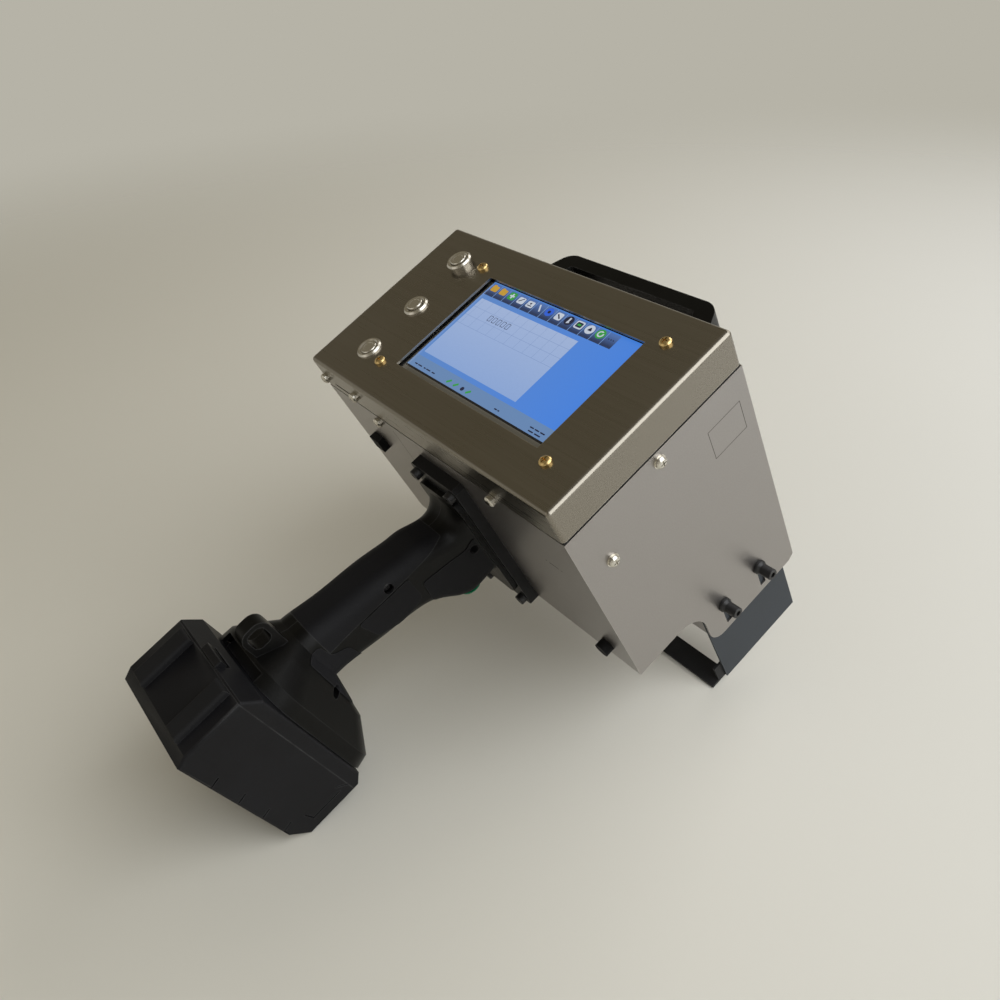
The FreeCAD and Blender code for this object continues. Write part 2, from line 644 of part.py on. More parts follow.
def make_grip():
    """Two moulded half shells with a palm pad, screwed together through the left half."""
    wall = size("grip_wall")
    pad_thick = size("pad_thick")
    plate = size("plate_thick")
    flange = box_at((-24, -plate - size("flange_thick") - 1, -168), (24, -plate, -58.5))
    flange = flange.makeFillet(9, [e for e in flange.Edges if abs(e.BoundBox.XLength) < 1e-6
                                   and abs(e.BoundBox.ZLength) < 1e-6])
    skin = grip_loft().fuse([foot_loft(), flange])
    hollow = grip_loft(wall).fuse(foot_loft(wall))
    palm = box_at((-60, -size("grip_end") + 8, -78), (60, -30, 0))
    pad = grip_loft().cut(grip_loft(pad_thick)).common(palm)
    tunnel = box_at((-size("rail_half") - 0.3, -size("foot_base") - 1, -size("foot_front") + 18),
                    (size("rail_half") + 0.3, -size("foot_base") + size("rail_height") + 0.3, 0))
    screw_bores = [cylinder_at("x", -30, y, z, 2.1, 60).fuse(cylinder_at("x", 14, y, z, 3.6, 30))
                   for y, z in GRIP_SCREWS]
    pad = pad.cut(screw_bores)
    trigger = -size("trigger_reach")
    ring = size("trigger_ring") / 2
    seat = 11 - size("trigger_face") - 7
    button_bore = cylinder_at("z", 0, trigger, -165, ring + CLEAR, 50)
    button_bore = button_bore.fuse(cylinder_at("z", 0, trigger, -165, ring + 1.65, 165 + seat))
    posts = [cylinder_at("x", -60, y, z, 5, 120) for y, z in GRIP_SCREWS]
    shell = skin.cut(hollow).fuse([post.common(skin) for post in posts])
    shell = shell.cut([pad, tunnel, button_bore] + screw_bores)
    for side, name in ((-1, "left"), (1, "right")):
        free_shape(f"grip_shell_{name}", shell.common(half_space(side)))
    free_shape("palm_pad", pad)
    screw = pan_screw(3.2, 2.2, 2.05, 22)
    group("grip_screws", [placed(screw, (14, y, z), (1, 0, 0)) for y, z in GRIP_SCREWS])


def make_trigger():
    """Sprung round push button in a green ring under the forefinger."""
    reach = -size("trigger_reach")
    ring = size("trigger_ring") / 2
    cap = size("trigger_cap") / 2
    face = -size("trigger_face")
    bore = cap + 0.3
    housing = turned([(bore, 4), (ring + 1.6, 4), (ring + 1.6, 3), (ring, 3), (ring, -26),
                      (0, -26), (0, -23), (bore, -23)])
    free_shape("trigger_bezel", placed(housing, (0, reach, face + 7), (0, 0, -1)))
    key = turned([(0, -9), (cap, -9), (cap, 6), (cap - 1, 7), (0, 7)])
    free_shape("trigger_button", placed(key, (0, reach, face + 7), (0, 0, -1)))


def make_lanyard():
    """Loop for a lanyard behind the foot, screwed on from the right."""
    rear = -size("foot_rear")
    left, right = size("loop_left"), size("loop_right")
    low, high, reach = 10.7 - size("foot_base"), -size("foot_top") - 1.3, rear + 20
    band = size("loop_band")
    loop = box_at((left, low, rear - 9), (right, high, reach))
    loop = loop.makeFillet(8, [e for e in loop.Edges if e.BoundBox.XLength > 5
                               and e.BoundBox.ZMin > rear])
    eye = box_at((left - 1, low + band, rear + 2), (right + 1, high - band, reach - band))
    eye = eye.makeFillet(4.5, [e for e in eye.Edges if e.BoundBox.XLength > 5])
    skin = grip_loft().fuse(foot_loft())
    loop = loop.cut([eye, skin])
    loop = max(loop.Solids, key=lambda solid: solid.Volume)
    free_shape("lanyard_loop", loop)


# ---------------------------------------------------------------- battery
def pack_block(low, high):
    """The pack between two levels: its side outline, with a sloped edge at each corner."""
    top, bottom, half = -size("pack_top"), -size("pack_bottom"), size("pack_half")
    rear, front = -size("pack_rear"), -size("pack_front")
    outline = [(top, rear - size("pack_brow")), (top - size("pack_brow_drop"), rear),
               (bottom + size("pack_chin_rise"), rear), (bottom, rear - size("pack_chin")),
               (bottom, front + size("pack_toe")), (bottom + size("pack_lower_bevel"), front),
               (top - size("pack_nose_drop"), front), (top, front + size("pack_nose"))]
    face = Part.Face(Part.makePolygon([Vector(-half, y, z) for y, z in outline + outline[:1]]))
    whole = face.extrude(Vector(2 * half, 0, 0))
    sides = [e for e in whole.Edges if e.BoundBox.XLength < 1e-6]
    whole = whole.makeFillet(size("pack_round"), sides)
    return whole.common(box_at((-half - 1, low, front - 1), (half + 1, high, rear + 1)))


def make_battery():
    """Slide-on lithium pack: lower case, top case with its rails, cells and latch button."""
    top, bottom = size("pack_top"), size("pack_bottom")
    rear, front = -size("pack_rear"), -size("pack_front")
    split = top + size("pack_lid")
    half = size("pack_half")
    wall = size("pack_wall")
    inside = box_at((wall - half, wall - bottom, front + size("pack_toe")),
                    (half - wall, -split, rear - size("pack_brow")))
    free_shape("battery_case", pack_block(-bottom, -split).cut(inside))
    upper = pack_block(-split, -top)
    tongue = box_at((-size("rail_half"), -top - 1, -size("foot_front") + 18.5),
                    (size("rail_half"), -size("foot_base") + size("rail_height"), rear - 24))
    latch_half, latch_low, latch_high = 11, -top - 9, -top - 3.5
    pocket = box_at((-latch_half - 0.3, latch_low - 0.3, rear - 8), (latch_half + 0.3, latch_high + 0.3, 0))
    free_shape("battery_top", upper.fuse(tongue).cut(pocket))
    latch = box_at((-latch_half, latch_low, rear - 5), (latch_half, latch_high, rear + 1.2))
    free_shape("latch_button", latch.makeFillet(1, [e for e in latch.Edges if e.BoundBox.ZMin > rear]))
    radius = size("cell_round") / 2
    length = size("cell_length")
    middle = (front + rear) / 2
    floor = -bottom + wall
    cells = [Part.makeCylinder(radius, length, Vector(x * (2 * radius + 1),
                                                      floor + radius + layer * (2 * radius + 1),
                                                      middle - length / 2))
             for x in (-1, 0, 1) for layer in (0, 1)]
    group("battery_cells", cells)
    ridges = []
    reach, half_bar = size("bumper_reach"), size("bumper_width") / 2
    for x in (-size("bumper_side"), size("bumper_side")):
        bar = box_at((x - half_bar, size("pack_chin_rise") + 0.5 - bottom, rear),
                     (x + half_bar, -split - 0.5, rear + reach))
        ridges.append(bar.makeFillet(reach / 2, [e for e in bar.Edges
                                                 if e.BoundBox.ZMin > rear + reach - 0.1]))
    group("battery_bumpers", ridges)


# ---------------------------------------------------------------- rear handle
def make_rear_handle():
    """Deep black bow handle bolted to the back wall."""
    half, spread = size("bow_half"), size("bow_spread")
    reach, thick = size("bow_reach"), size("bow_thick")
    top, height = -size("bow_top"), size("bow_height")
    outer = [Vector(-spread, DEPTH, 0), Vector(-half, DEPTH + reach, 0),
             Vector(half, DEPTH + reach, 0), Vector(spread, DEPTH, 0)]
    inner = [Vector(-spread + 1.6 * thick, DEPTH, 0), Vector(-half + thick, DEPTH + reach - thick, 0),
             Vector(half - thick, DEPTH + reach - thick, 0), Vector(spread - 1.6 * thick, DEPTH, 0)]
    plan = Part.Face(Part.makePolygon(outer + inner[::-1] + outer[:1]))
    bow = plan.extrude(Vector(0, 0, -height))
    bow.translate(Vector(0, 0, top))
    turn = size("bow_round")
    bow = bow.makeFillet(turn, [e for e in bow.Edges if e.BoundBox.ZLength > height - 1
                                and e.BoundBox.YMin > DEPTH + reach - 1])
    thin, bolt = size("bow_foot"), size("bow_screw")
    for side in (-1, 1):
        ends = sorted((side * (spread - 18), side * (bolt + 10)))
        foot = box_at((ends[0], DEPTH, top - height), (ends[1], DEPTH + thin, top))
        bow = bow.fuse(foot)
    bores = [cylinder_at("y", side * bolt, DEPTH - 1, -drop, size("screw_shank") / 2 + CLEAR, thin + 2)
             for side in (-1, 1) for drop in BOW_SCREW_DROPS]
    free_shape("rear_handle", bow.cut(bores).removeSplitter())
    screw = pan_screw(size("screw_head") / 2, 2.6, size("screw_shank") / 2, 9)
    group("rear_handle_screws", [placed(screw, (side * bolt, DEPTH + thin, -drop), (0, 1, 0))
                                 for side in (-1, 1) for drop in BOW_SCREW_DROPS])


def make_feet():
    """Black rubber bumpers on the front wall."""
    square = body("square_bumper")
    slab(square, "XZ", -98, -72, 0, 12, 12, 6)
    round_bumper = body("round_bumper")
    boss(round_bumper, "XZ", 110, -168, 0, 11, 7)


for build in (make_top_cover, make_cover_gasket, make_body_shell, make_nozzle_plate,
              make_internals, make_display, make_panel_buttons, make_case_screws, make_guide,
              make_handle_plate, make_grip, make_trigger, make_lanyard, make_battery,
              make_rear_handle, make_feet):
    build()
doc.recompute()

# ---------------------------------------------------------------- resting attitude
# the battery's lower front edge and the guide rail's lower front edge share the floor
heel = Vector(0, -size("pack_bottom - pack_lower_bevel"), -size("pack_front"))
toe = Vector(0, size("rail_front"), -size("rear_drop + guide_drop"))
tilt = -math.degrees(math.atan2(toe.z - heel.z, toe.y - heel.y))
lean = Placement(Vector(), Rotation(Vector(1, 0, 0), tilt))


def rest(attitude):
    for piece in NODES:
        own = STARTS[piece.Name]
        piece.Placement = attitude.multiply(own)
    doc.recompute()


STARTS = {piece.Name: piece.Placement for piece in NODES}
rest(lean)
everything = Part.makeCompound([piece.Shape for piece in NODES]).BoundBox
stand = Vector(-everything.Center.x, -everything.Center.y, -everything.ZMin)
rest(Placement(stand, Rotation()).multiply(lean))

# ---------------------------------------------------------------- check and export
for thing in doc.Objects:
    assert not {"Invalid", "Error"} & set(thing.State), (thing.Label, thing.State)
for piece in NODES:
    assert not piece.Shape.isNull() and piece.Shape.isValid(), piece.Label
os.makedirs("parts", exist_ok=True)
for piece in NODES:
    piece.Shape.exportStep(os.path.join("parts", piece.Label + ".step"))
print(len(NODES), "pieces, tilt", round(tilt, 3), "stand", stand)
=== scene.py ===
import json
import math

import bpy
from mathutils import Matrix, Vector


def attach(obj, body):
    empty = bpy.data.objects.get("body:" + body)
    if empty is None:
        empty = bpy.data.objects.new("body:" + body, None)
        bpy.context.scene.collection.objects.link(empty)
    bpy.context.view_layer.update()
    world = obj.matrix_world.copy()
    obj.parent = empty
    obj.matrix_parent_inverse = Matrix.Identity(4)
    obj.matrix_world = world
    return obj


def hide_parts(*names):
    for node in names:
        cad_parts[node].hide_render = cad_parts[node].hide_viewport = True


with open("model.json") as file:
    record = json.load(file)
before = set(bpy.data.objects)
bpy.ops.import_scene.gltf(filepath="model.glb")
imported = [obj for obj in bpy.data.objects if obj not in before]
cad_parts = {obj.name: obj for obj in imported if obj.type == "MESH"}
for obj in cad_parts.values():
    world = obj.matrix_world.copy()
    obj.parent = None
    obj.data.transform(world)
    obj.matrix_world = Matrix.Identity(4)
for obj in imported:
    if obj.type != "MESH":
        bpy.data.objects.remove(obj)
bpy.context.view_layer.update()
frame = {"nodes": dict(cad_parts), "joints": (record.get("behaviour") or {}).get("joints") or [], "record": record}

scene = bpy.context.scene
scene.view_settings.view_transform = "Standard"

# ============================================================ studio
# A pale paper table that fades into the room, under soft light: one broad window to the right
# and a dim warm ceiling, which is what the lid mirrors. The camera looks over the right end.
FLOOR_HALF = 3.0  # metres
PAPER_NEAR, PAPER_FAR = 0.7, 2.4  # the paper starts to fade here, and is gone there, in metres
bpy.ops.object.select_all(action="DESELECT")
bpy.ops.mesh.primitive_plane_add(size=2 * FLOOR_HALF, location=(0, 0, 0))
floor = bpy.context.object
floor.name = "studio_floor"


def new_material(name):
    """A node material, with its node tree and its Principled shader."""
    made = bpy.data.materials.new(name)
    made.use_nodes = True
    tree = made.node_tree
    shader = tree.nodes["Principled BSDF"]
    return made, tree, shader


def add_node(tree, kind, **settings):
    """One shader node; settings are its properties, or its inputs when the name is one."""
    fresh = tree.nodes.new(kind)
    for key, value in settings.items():
        if hasattr(fresh, key):
            setattr(fresh, key, value)
        else:
            fresh.inputs[key.replace("_", " ")].default_value = value
    return fresh


def blend_ramp(tree, source, stops):
    """A colour ramp from (place, colour) stops, fed by `source`."""
    ramp = tree.nodes.new("ShaderNodeValToRGB")
    bar = ramp.color_ramp
    while len(bar.elements) < len(stops):
        bar.elements.new(0.5)
    for element, (place, colour) in zip(bar.elements, stops):
        element.position = place
        element.color = (*colour, 1) if len(colour) == 3 else colour
    tree.links.new(source, ramp.inputs["Fac"])
    return ramp.outputs["Color"]


def object_place(tree):
    """The piece's own coordinates in metres, which every pattern is laid on."""
    return tree.nodes.new("ShaderNodeTexCoord").outputs["Object"]


paper, tree, shader = new_material("table_paper")
place = object_place(tree)
turned = add_node(tree, "ShaderNodeMapping")
turned.inputs["Rotation"].default_value = (0, 0, math.radians(-54.7))
turned.inputs["Scale"].default_value = (0.28, 0.28, 0.28)
tree.links.new(place, turned.inputs["Vector"])
sweep = add_node(tree, "ShaderNodeSeparateXYZ")
tree.links.new(turned.outputs["Vector"], sweep.inputs["Vector"])
across = add_node(tree, "ShaderNodeMapRange")
across.inputs["From Min"].default_value = -0.4
across.inputs["From Max"].default_value = 0.4
tree.links.new(sweep.outputs["X"], across.inputs["Value"])
# Painted light: the paper's colour runs from a darker, warmer tone on the left of the view to a paler, cooler one
# on the right, a painted falloff of the window light.
painted_light_falloff = blend_ramp(tree, across.outputs["Result"],
                  [(0.0, (0.60, 0.57, 0.48)), (0.5, (0.70, 0.68, 0.62)), (1.0, (0.78, 0.79, 0.80))])
tree.links.new(painted_light_falloff, shader.inputs["Base Color"])
fibres = add_node(tree, "ShaderNodeTexNoise", Scale=260.0, Detail=6.0)
tree.links.new(place, fibres.inputs["Vector"])
tooth = add_node(tree, "ShaderNodeBump", Strength=0.08, Distance=0.0004)
tree.links.new(fibres.outputs["Fac"], tooth.inputs["Height"])
tree.links.new(tooth.outputs["Normal"], shader.inputs["Normal"])
shader.inputs["Roughness"].default_value = 0.75
distance = add_node(tree, "ShaderNodeVectorMath", operation="LENGTH")
tree.links.new(place, distance.inputs[0])
fade = add_node(tree, "ShaderNodeMapRange", interpolation_type="SMOOTHSTEP")
fade.inputs["From Min"].default_value = PAPER_NEAR
fade.inputs["From Max"].default_value = PAPER_FAR
fade.inputs["To Min"].default_value = 1.0
fade.inputs["To Max"].default_value = 0.0
tree.links.new(distance.outputs["Value"], fade.inputs["Value"])
tree.links.new(fade.outputs["Result"], shader.inputs["Alpha"])
floor.data.materials.append(paper)

world = bpy.data.worlds.new("studio_air")
scene.world = world
world.use_nodes = True
air = world.node_tree
sky_place = add_node(air, "ShaderNodeTexCoord")
sky_split = add_node(air, "ShaderNodeSeparateXYZ")
air.links.new(sky_place.outputs["Generated"], sky_split.inputs["Vector"])
height = blend_ramp(air, sky_split.outputs["Z"],
                    [(0.0, (0.52, 0.50, 0.43)), (0.16, (0.56, 0.54, 0.48)),
                     (0.42, (0.22, 0.195, 0.145)), (0.75, (0.215, 0.19, 0.128)),
                     (1.0, (0.30, 0.28, 0.24))])
air.links.new(height, air.nodes["Background"].inputs["Color"])
air.nodes["Background"].inputs["Strength"].default_value = 0.9

LAMPS = {  # name: place, aim, size, watts, colour
    "window_right": ((2.0, 0.7, 1.7), (0, 0.10, 0.0), 3.0, 76, (0.95, 0.98, 1.0)),
    "fill_front": ((-0.5, -2.4, 1.2), (0, 0, 0.05), 1.6, 3, (1.0, 0.95, 0.86)),
    "fill_back": ((-0.2, 2.4, 1.7), (0, 0.3, 0.1), 1.8, 22, (1.0, 0.98, 0.94)),
}
for name, (spot, aim, width, power, colour) in LAMPS.items():
    lamp_data = bpy.data.lights.new(name, "AREA")
    lamp_data.shape = "SQUARE"
    lamp_data.size = width
    lamp_data.energy = power
    lamp_data.color = colour
    lamp = bpy.data.objects.new(name, lamp_data)
    scene.collection.objects.link(lamp)
    lamp.location = spot
    lamp.rotation_euler = (Vector(aim) - Vector(spot)).to_track_quat("-Z", "Y").to_euler()

CAMERA_SPOT = Vector((0.43315, -0.26309, 0.51298))
AZIMUTH, ELEVATION, ROLL = (math.radians(angle) for angle in (54.739, 34.178, -3.756))
camera_data = bpy.data.cameras.new("camera")
camera_data.lens = 31.983
camera = bpy.data.objects.new("camera", camera_data)
scene.collection.objects.link(camera)
scene.camera = camera
level = Vector((math.cos(AZIMUTH), math.sin(AZIMUTH), 0))
ahead = Vector((-math.sin(AZIMUTH) * math.cos(ELEVATION),
                math.cos(AZIMUTH) * math.cos(ELEVATION), -math.sin(ELEVATION)))
sideways = level * math.cos(ROLL) + level.cross(ahead) * math.sin(ROLL)
upwards = sideways.cross(ahead)
camera.matrix_world = (Matrix.Translation(CAMERA_SPOT)
                       @ Matrix((sideways, upwards, -ahead)).transposed().to_4x4())

# ============================================================ case
# The box and its lid are folded from 1.5 mm stainless sheet with a long brushed grain, spot
# welded at the corners and passivated. Bends and cut edges are painted a little brighter: part
# wear, part painted highlight.
nodes = frame["nodes"]
lid_up = -Vector(next(j for j in frame["joints"] if j["name"] == "front_button_press")["axis"])
case_back = Vector((0, lid_up.z, -lid_up.y))
TILT = math.atan2(case_back.z, case_back.y)
GUIDE_BACK, GUIDE_DOWN = 0.055, 0.287  # the guide's face from the lid's front edge, metres
guide_face = next(m for m in frame["record"]["mounts"] if m["name"] == "guide_face")
case_origin = Vector(guide_face["pos_m"]) - GUIDE_BACK * case_back + GUIDE_DOWN * lid_up


def case_place(tree, scale=(1, 1, 1)):
    """Object coordinates turned to lie along the case, in metres times `scale`."""
    turn = tree.nodes.new("ShaderNodeMapping")
    turn.inputs["Rotation"].default_value = (-TILT, 0, 0)
    tree.links.new(object_place(tree), turn.inputs["Vector"])
    if scale == (1, 1, 1):
        return turn.outputs["Vector"]
    stretch = add_node(tree, "ShaderNodeVectorMath", operation="MULTIPLY")
    tree.links.new(turn.outputs["Vector"], stretch.inputs[0])
    stretch.inputs[1].default_value = scale
    return stretch.outputs["Vector"]


def shader_group(name, inputs, outputs):
    """An empty node group with its sockets; returns it with its input and output nodes."""
    made = bpy.data.node_groups.new(name, "ShaderNodeTree")
    for label, kind, start in inputs:
        socket = made.interface.new_socket(label, in_out="INPUT", socket_type=kind)
        if start is not None:
            socket.default_value = start
    for label, kind in outputs:
        made.interface.new_socket(label, in_out="OUTPUT", socket_type=kind)
    return made, made.nodes.new("NodeGroupInput"), made.nodes.new("NodeGroupOutput")


def arithmetic(tree, operation, first, second=None, third=None, clamp=False):
    """One Math node on sockets or plain numbers."""
    step = tree.nodes.new("ShaderNodeMath")
    step.operation = operation
    step.use_clamp = clamp
    for place, value in enumerate((first, second, third)):
        if value is None:
            continue
        if isinstance(value, (int, float)):
            step.inputs[place].default_value = value
        else:
            tree.links.new(value, step.inputs[place])
    return step.outputs[0]


# Edge wear and painted highlight: 0 on flat faces, up to 1 on the outer edges, broken up by a patchy noise. The
# materials paint their edges lighter with it.
edge_wear_and_highlight, taken, given = shader_group(
    "edge_wear_and_highlight",
    [("Width", "NodeSocketFloat", 0.0006), ("Place", "NodeSocketVector", None)],
    [("Mask", "NodeSocketFloat")])
rounded = edge_wear_and_highlight.nodes.new("ShaderNodeBevel")
rounded.samples = 4
edge_wear_and_highlight.links.new(taken.outputs["Width"], rounded.inputs["Radius"])
face = edge_wear_and_highlight.nodes.new("ShaderNodeNewGeometry")
turned_by = add_node(edge_wear_and_highlight, "ShaderNodeVectorMath", operation="DOT_PRODUCT")
edge_wear_and_highlight.links.new(rounded.outputs["Normal"], turned_by.inputs[0])
edge_wear_and_highlight.links.new(face.outputs["Normal"], turned_by.inputs[1])
bent = arithmetic(edge_wear_and_highlight, "SUBTRACT", 1.0, turned_by.outputs["Value"])
patches = add_node(edge_wear_and_highlight, "ShaderNodeTexNoise", Scale=55.0, Detail=4.0)
edge_wear_and_highlight.links.new(taken.outputs["Place"], patches.inputs["Vector"])
broken = arithmetic(edge_wear_and_highlight, "MULTIPLY_ADD", patches.outputs["Fac"], 2.4, -0.5, clamp=True)
edge_wear_and_highlight.links.new(arithmetic(edge_wear_and_highlight, "MULTIPLY", arithmetic(
    edge_wear_and_highlight, "MULTIPLY", bent, 5.0, clamp=True), broken, clamp=True), given.inputs["Mask"])

# Brushing: long fine streaks along the first axis of Place.
brushing, taken, given = shader_group(
    "brushing", [("Place", "NodeSocketVector", None)],
    [("Streaks", "NodeSocketFloat"), ("Fine", "NodeSocketFloat")])
for label, stretch, scale, detail in (("Streaks", (7, 900, 900), 1.0, 4.0),
                                      ("Fine", (26, 4200, 4200), 1.0, 2.0)):
    long_way = add_node(brushing, "ShaderNodeVectorMath", operation="MULTIPLY")
    brushing.links.new(taken.outputs["Place"], long_way.inputs[0])
    long_way.inputs[1].default_value = stretch
    streak = add_node(brushing, "ShaderNodeTexNoise", Scale=scale, Detail=detail)
    brushing.links.new(long_way.outputs["Vector"], streak.inputs["Vector"])
    brushing.links.new(streak.outputs["Fac"], given.inputs[label])

# Handling: soft cloudy smears that change the gloss, with a few finer specks.
handling, taken, given = shader_group(
    "handling", [("Place", "NodeSocketVector", None)],
    [("Smears", "NodeSocketFloat"), ("Specks", "NodeSocketFloat")])
clouds = add_node(handling, "ShaderNodeTexNoise", Scale=14.0, Detail=5.0, Roughness=0.62)
handling.links.new(taken.outputs["Place"], clouds.inputs["Vector"])
handling.links.new(clouds.outputs["Fac"], given.inputs["Smears"])
grit = add_node(handling, "ShaderNodeTexNoise", Scale=900.0, Detail=2.0)
handling.links.new(taken.outputs["Place"], grit.inputs["Vector"])
handling.links.new(arithmetic(handling, "MULTIPLY_ADD", grit.outputs["Fac"], 6.0, -3.9,
                              clamp=True), given.inputs["Specks"])


def placed_group(tree, group, place, **values):
    """A node group in a material, given its place and its own values."""
    inside = tree.nodes.new("ShaderNodeGroup")
    inside.node_tree = group
    tree.links.new(place, inside.inputs["Place"])
    for label, value in values.items():
        inside.inputs[label].default_value = value
    return inside


def mixed(tree, amount, low, high):
    """A colour between two colours or sockets."""
    mix = tree.nodes.new("ShaderNodeMix")
    mix.data_type = "RGBA"
    for socket, value in ((mix.inputs[0], amount), (mix.inputs[6], low), (mix.inputs[7], high)):
        if isinstance(value, tuple):
            socket.default_value = (*value, 1)
        elif isinstance(value, float):
            socket.default_value = value
        else:
            tree.links.new(value, socket)
    return mix.outputs[2]


def bumped(tree, shader, heights):
    """Bump nodes one after another, from (height socket, strength, distance in metres)."""
    last = None
    for height, strength, distance in heights:
        bump = tree.nodes.new("ShaderNodeBump")
        bump.inputs["Strength"].default_value = strength
        bump.inputs["Distance"].default_value = distance
        tree.links.new(height, bump.inputs["Height"])
        if last is not None:
            tree.links.new(last, bump.inputs["Normal"])
        last = bump.outputs["Normal"]
    tree.links.new(last, shader.inputs["Normal"])


def brushed_sheet(name, dark, light, bright, along=(1, 1, 1), rough=(0.24, 0.38)):
    """Brushed metal sheet: streaks in colour, gloss and relief, smears, and edges painted brighter, part wear and
    part painted highlight.
    """
    made, tree, shader = new_material(name)
    place = case_place(tree, along)
    grain = placed_group(tree, brushing, place)
    smear = placed_group(tree, handling, object_place(tree))
    wear_and_highlight = placed_group(tree, edge_wear_and_highlight, object_place(tree), Width=0.0008)
    streaks = arithmetic(tree, "MULTIPLY_ADD", grain.outputs["Streaks"], 1.6, -0.3, clamp=True)
    ground = mixed(tree, streaks, dark, light)
    # Painted highlight: edges take the bright colour, part wear and part light caught on the bends.
    tree.links.new(mixed(tree, wear_and_highlight.outputs["Mask"], ground, bright),
                   shader.inputs["Base Color"])
    shine = add_node(tree, "ShaderNodeMapRange")
    shine.inputs["From Min"].default_value = 0.3
    shine.inputs["From Max"].default_value = 0.7
    shine.inputs["To Min"].default_value = rough[0]
    shine.inputs["To Max"].default_value = rough[1]
    tree.links.new(arithmetic(tree, "ADD", arithmetic(
        tree, "MULTIPLY", grain.outputs["Streaks"], 0.5), arithmetic(
        tree, "MULTIPLY", smear.outputs["Smears"], 0.5)), shine.inputs["Value"])
    tree.links.new(shine.outputs["Result"], shader.inputs["Roughness"])
    shader.inputs["Metallic"].default_value = 1.0
    bumped(tree, shader, [(grain.outputs["Fine"], 0.16, 0.00005),
                          (grain.outputs["Streaks"], 0.10, 0.00008)])
    return made


def finish_nodes(material, *names):
    """Gives CAD nodes one finish all over."""
    for name in names:
        slots = nodes[name].data.materials
        slots.clear()
        slots.append(material)


lid_steel = brushed_sheet("lid_steel", (0.265, 0.243, 0.207), (0.298, 0.272, 0.232),
                          (0.70, 0.66, 0.58), rough=(0.24, 0.34))
box_steel = brushed_sheet("box_steel", (0.355, 0.335, 0.325), (0.40, 0.38, 0.37),
                          (0.64, 0.61, 0.58), rough=(0.32, 0.44))
finish_nodes(lid_steel, "top_cover")
finish_nodes(box_steel, "body_shell")

# ============================================================ rubber and bumpers
# The lid gasket and the two small bumpers on the front wall are black rubber, matt and a little
# dusty. The gasket is cut from sheet and clamped; the bumpers are moulded and stuck on.


def dark_moulding(name, colour, high, rough, grain_size, grain_depth, wear_and_highlight_colour, wear_and_highlight_width,
                  mirror=0.15):
    """Moulded plastic, rubber or paint: a fine even grain, cloudy gloss, and rubbed edges painted lighter, part
    wear and part painted highlight.
    """
    made, tree, shader = new_material(name)
    place = object_place(tree)
    smear = placed_group(tree, handling, place)
    wear_and_highlight = placed_group(tree, edge_wear_and_highlight, place, Width=wear_and_highlight_width)
    cloud = arithmetic(tree, "MULTIPLY_ADD", smear.outputs["Smears"], 2.6, -0.8, clamp=True)
    ground = mixed(tree, cloud, colour, high)
    dusty = mixed(tree, arithmetic(tree, "MULTIPLY", smear.outputs["Specks"], 0.35), ground,
                  tuple(min(1.0, part * 2.2 + 0.02) for part in high))
    # Edges painted lighter: part wear, part painted highlight.
    tree.links.new(mixed(tree, wear_and_highlight.outputs["Mask"], dusty, wear_and_highlight_colour),
                   shader.inputs["Base Color"])
    gloss = add_node(tree, "ShaderNodeMapRange")
    gloss.inputs["To Min"].default_value = rough[0]
    gloss.inputs["To Max"].default_value = rough[1]
    tree.links.new(cloud, gloss.inputs["Value"])
    tree.links.new(gloss.outputs["Result"], shader.inputs["Roughness"])
    shader.inputs["Specular IOR Level"].default_value = mirror
    pebble = add_node(tree, "ShaderNodeTexVoronoi", Scale=1.0 / grain_size)
    tree.links.new(place, pebble.inputs["Vector"])
    soft = add_node(tree, "ShaderNodeTexNoise", Scale=0.4 / grain_size, Detail=3.0)
    tree.links.new(place, soft.inputs["Vector"])
    bumped(tree, shader, [(pebble.outputs["Distance"], 0.35, grain_depth),
                          (soft.outputs["Fac"], 0.25, grain_depth * 1.6)])
    return made


rubber = dark_moulding("black_rubber", (0.007, 0.007, 0.008), (0.013, 0.013, 0.014),
                       (0.62, 0.80), 0.0006, 0.00008, (0.05, 0.05, 0.05), 0.0006)
finish_nodes(rubber, "cover_gasket", "square_bumper", "round_bumper")

# ============================================================ display
# A seven inch touch module behind the lid: a folded metal frame, a flat glass with the picture
# lit behind it, and a zinc bracket that the four brass screws clamp.
frame_metal = brushed_sheet("display_frame_metal", (0.30, 0.30, 0.30), (0.40, 0.40, 0.39),
                            (0.65, 0.65, 0.63), rough=(0.34, 0.50))
zinc = brushed_sheet("zinc_plate", (0.52, 0.53, 0.54), (0.62, 0.63, 0.63),
                     (0.80, 0.80, 0.79), rough=(0.35, 0.55))
finish_nodes(frame_metal, "display_module")
finish_nodes(zinc, "display_bracket", "chassis_tray", "print_head")


def case_axes(tree):
    """The case's own millimetre coordinates across, back and up, as three sockets."""
    split = tree.nodes.new("ShaderNodeSeparateXYZ")
    tree.links.new(case_place(tree, (1000, 1000, 1000)), split.inputs["Vector"])
    turned_origin = Matrix.Rotation(-TILT, 3, "X") @ case_origin * 1000
    return [arithmetic(tree, "SUBTRACT", split.outputs[axis], turned_origin[place])
            for place, axis in enumerate("XYZ")]


def inside_box(tree, across, back, left, right, front, rear):
    """1 inside a rectangle of the case's face, 0 outside."""
    masks = [arithmetic(tree, "GREATER_THAN", across, float(left)),
             arithmetic(tree, "LESS_THAN", across, float(right)),
             arithmetic(tree, "GREATER_THAN", back, float(front)),
             arithmetic(tree, "LESS_THAN", back, float(rear))]
    whole = masks[0]
    for mask in masks[1:]:
        whole = arithmetic(tree, "MULTIPLY", whole, mask)
    return whole


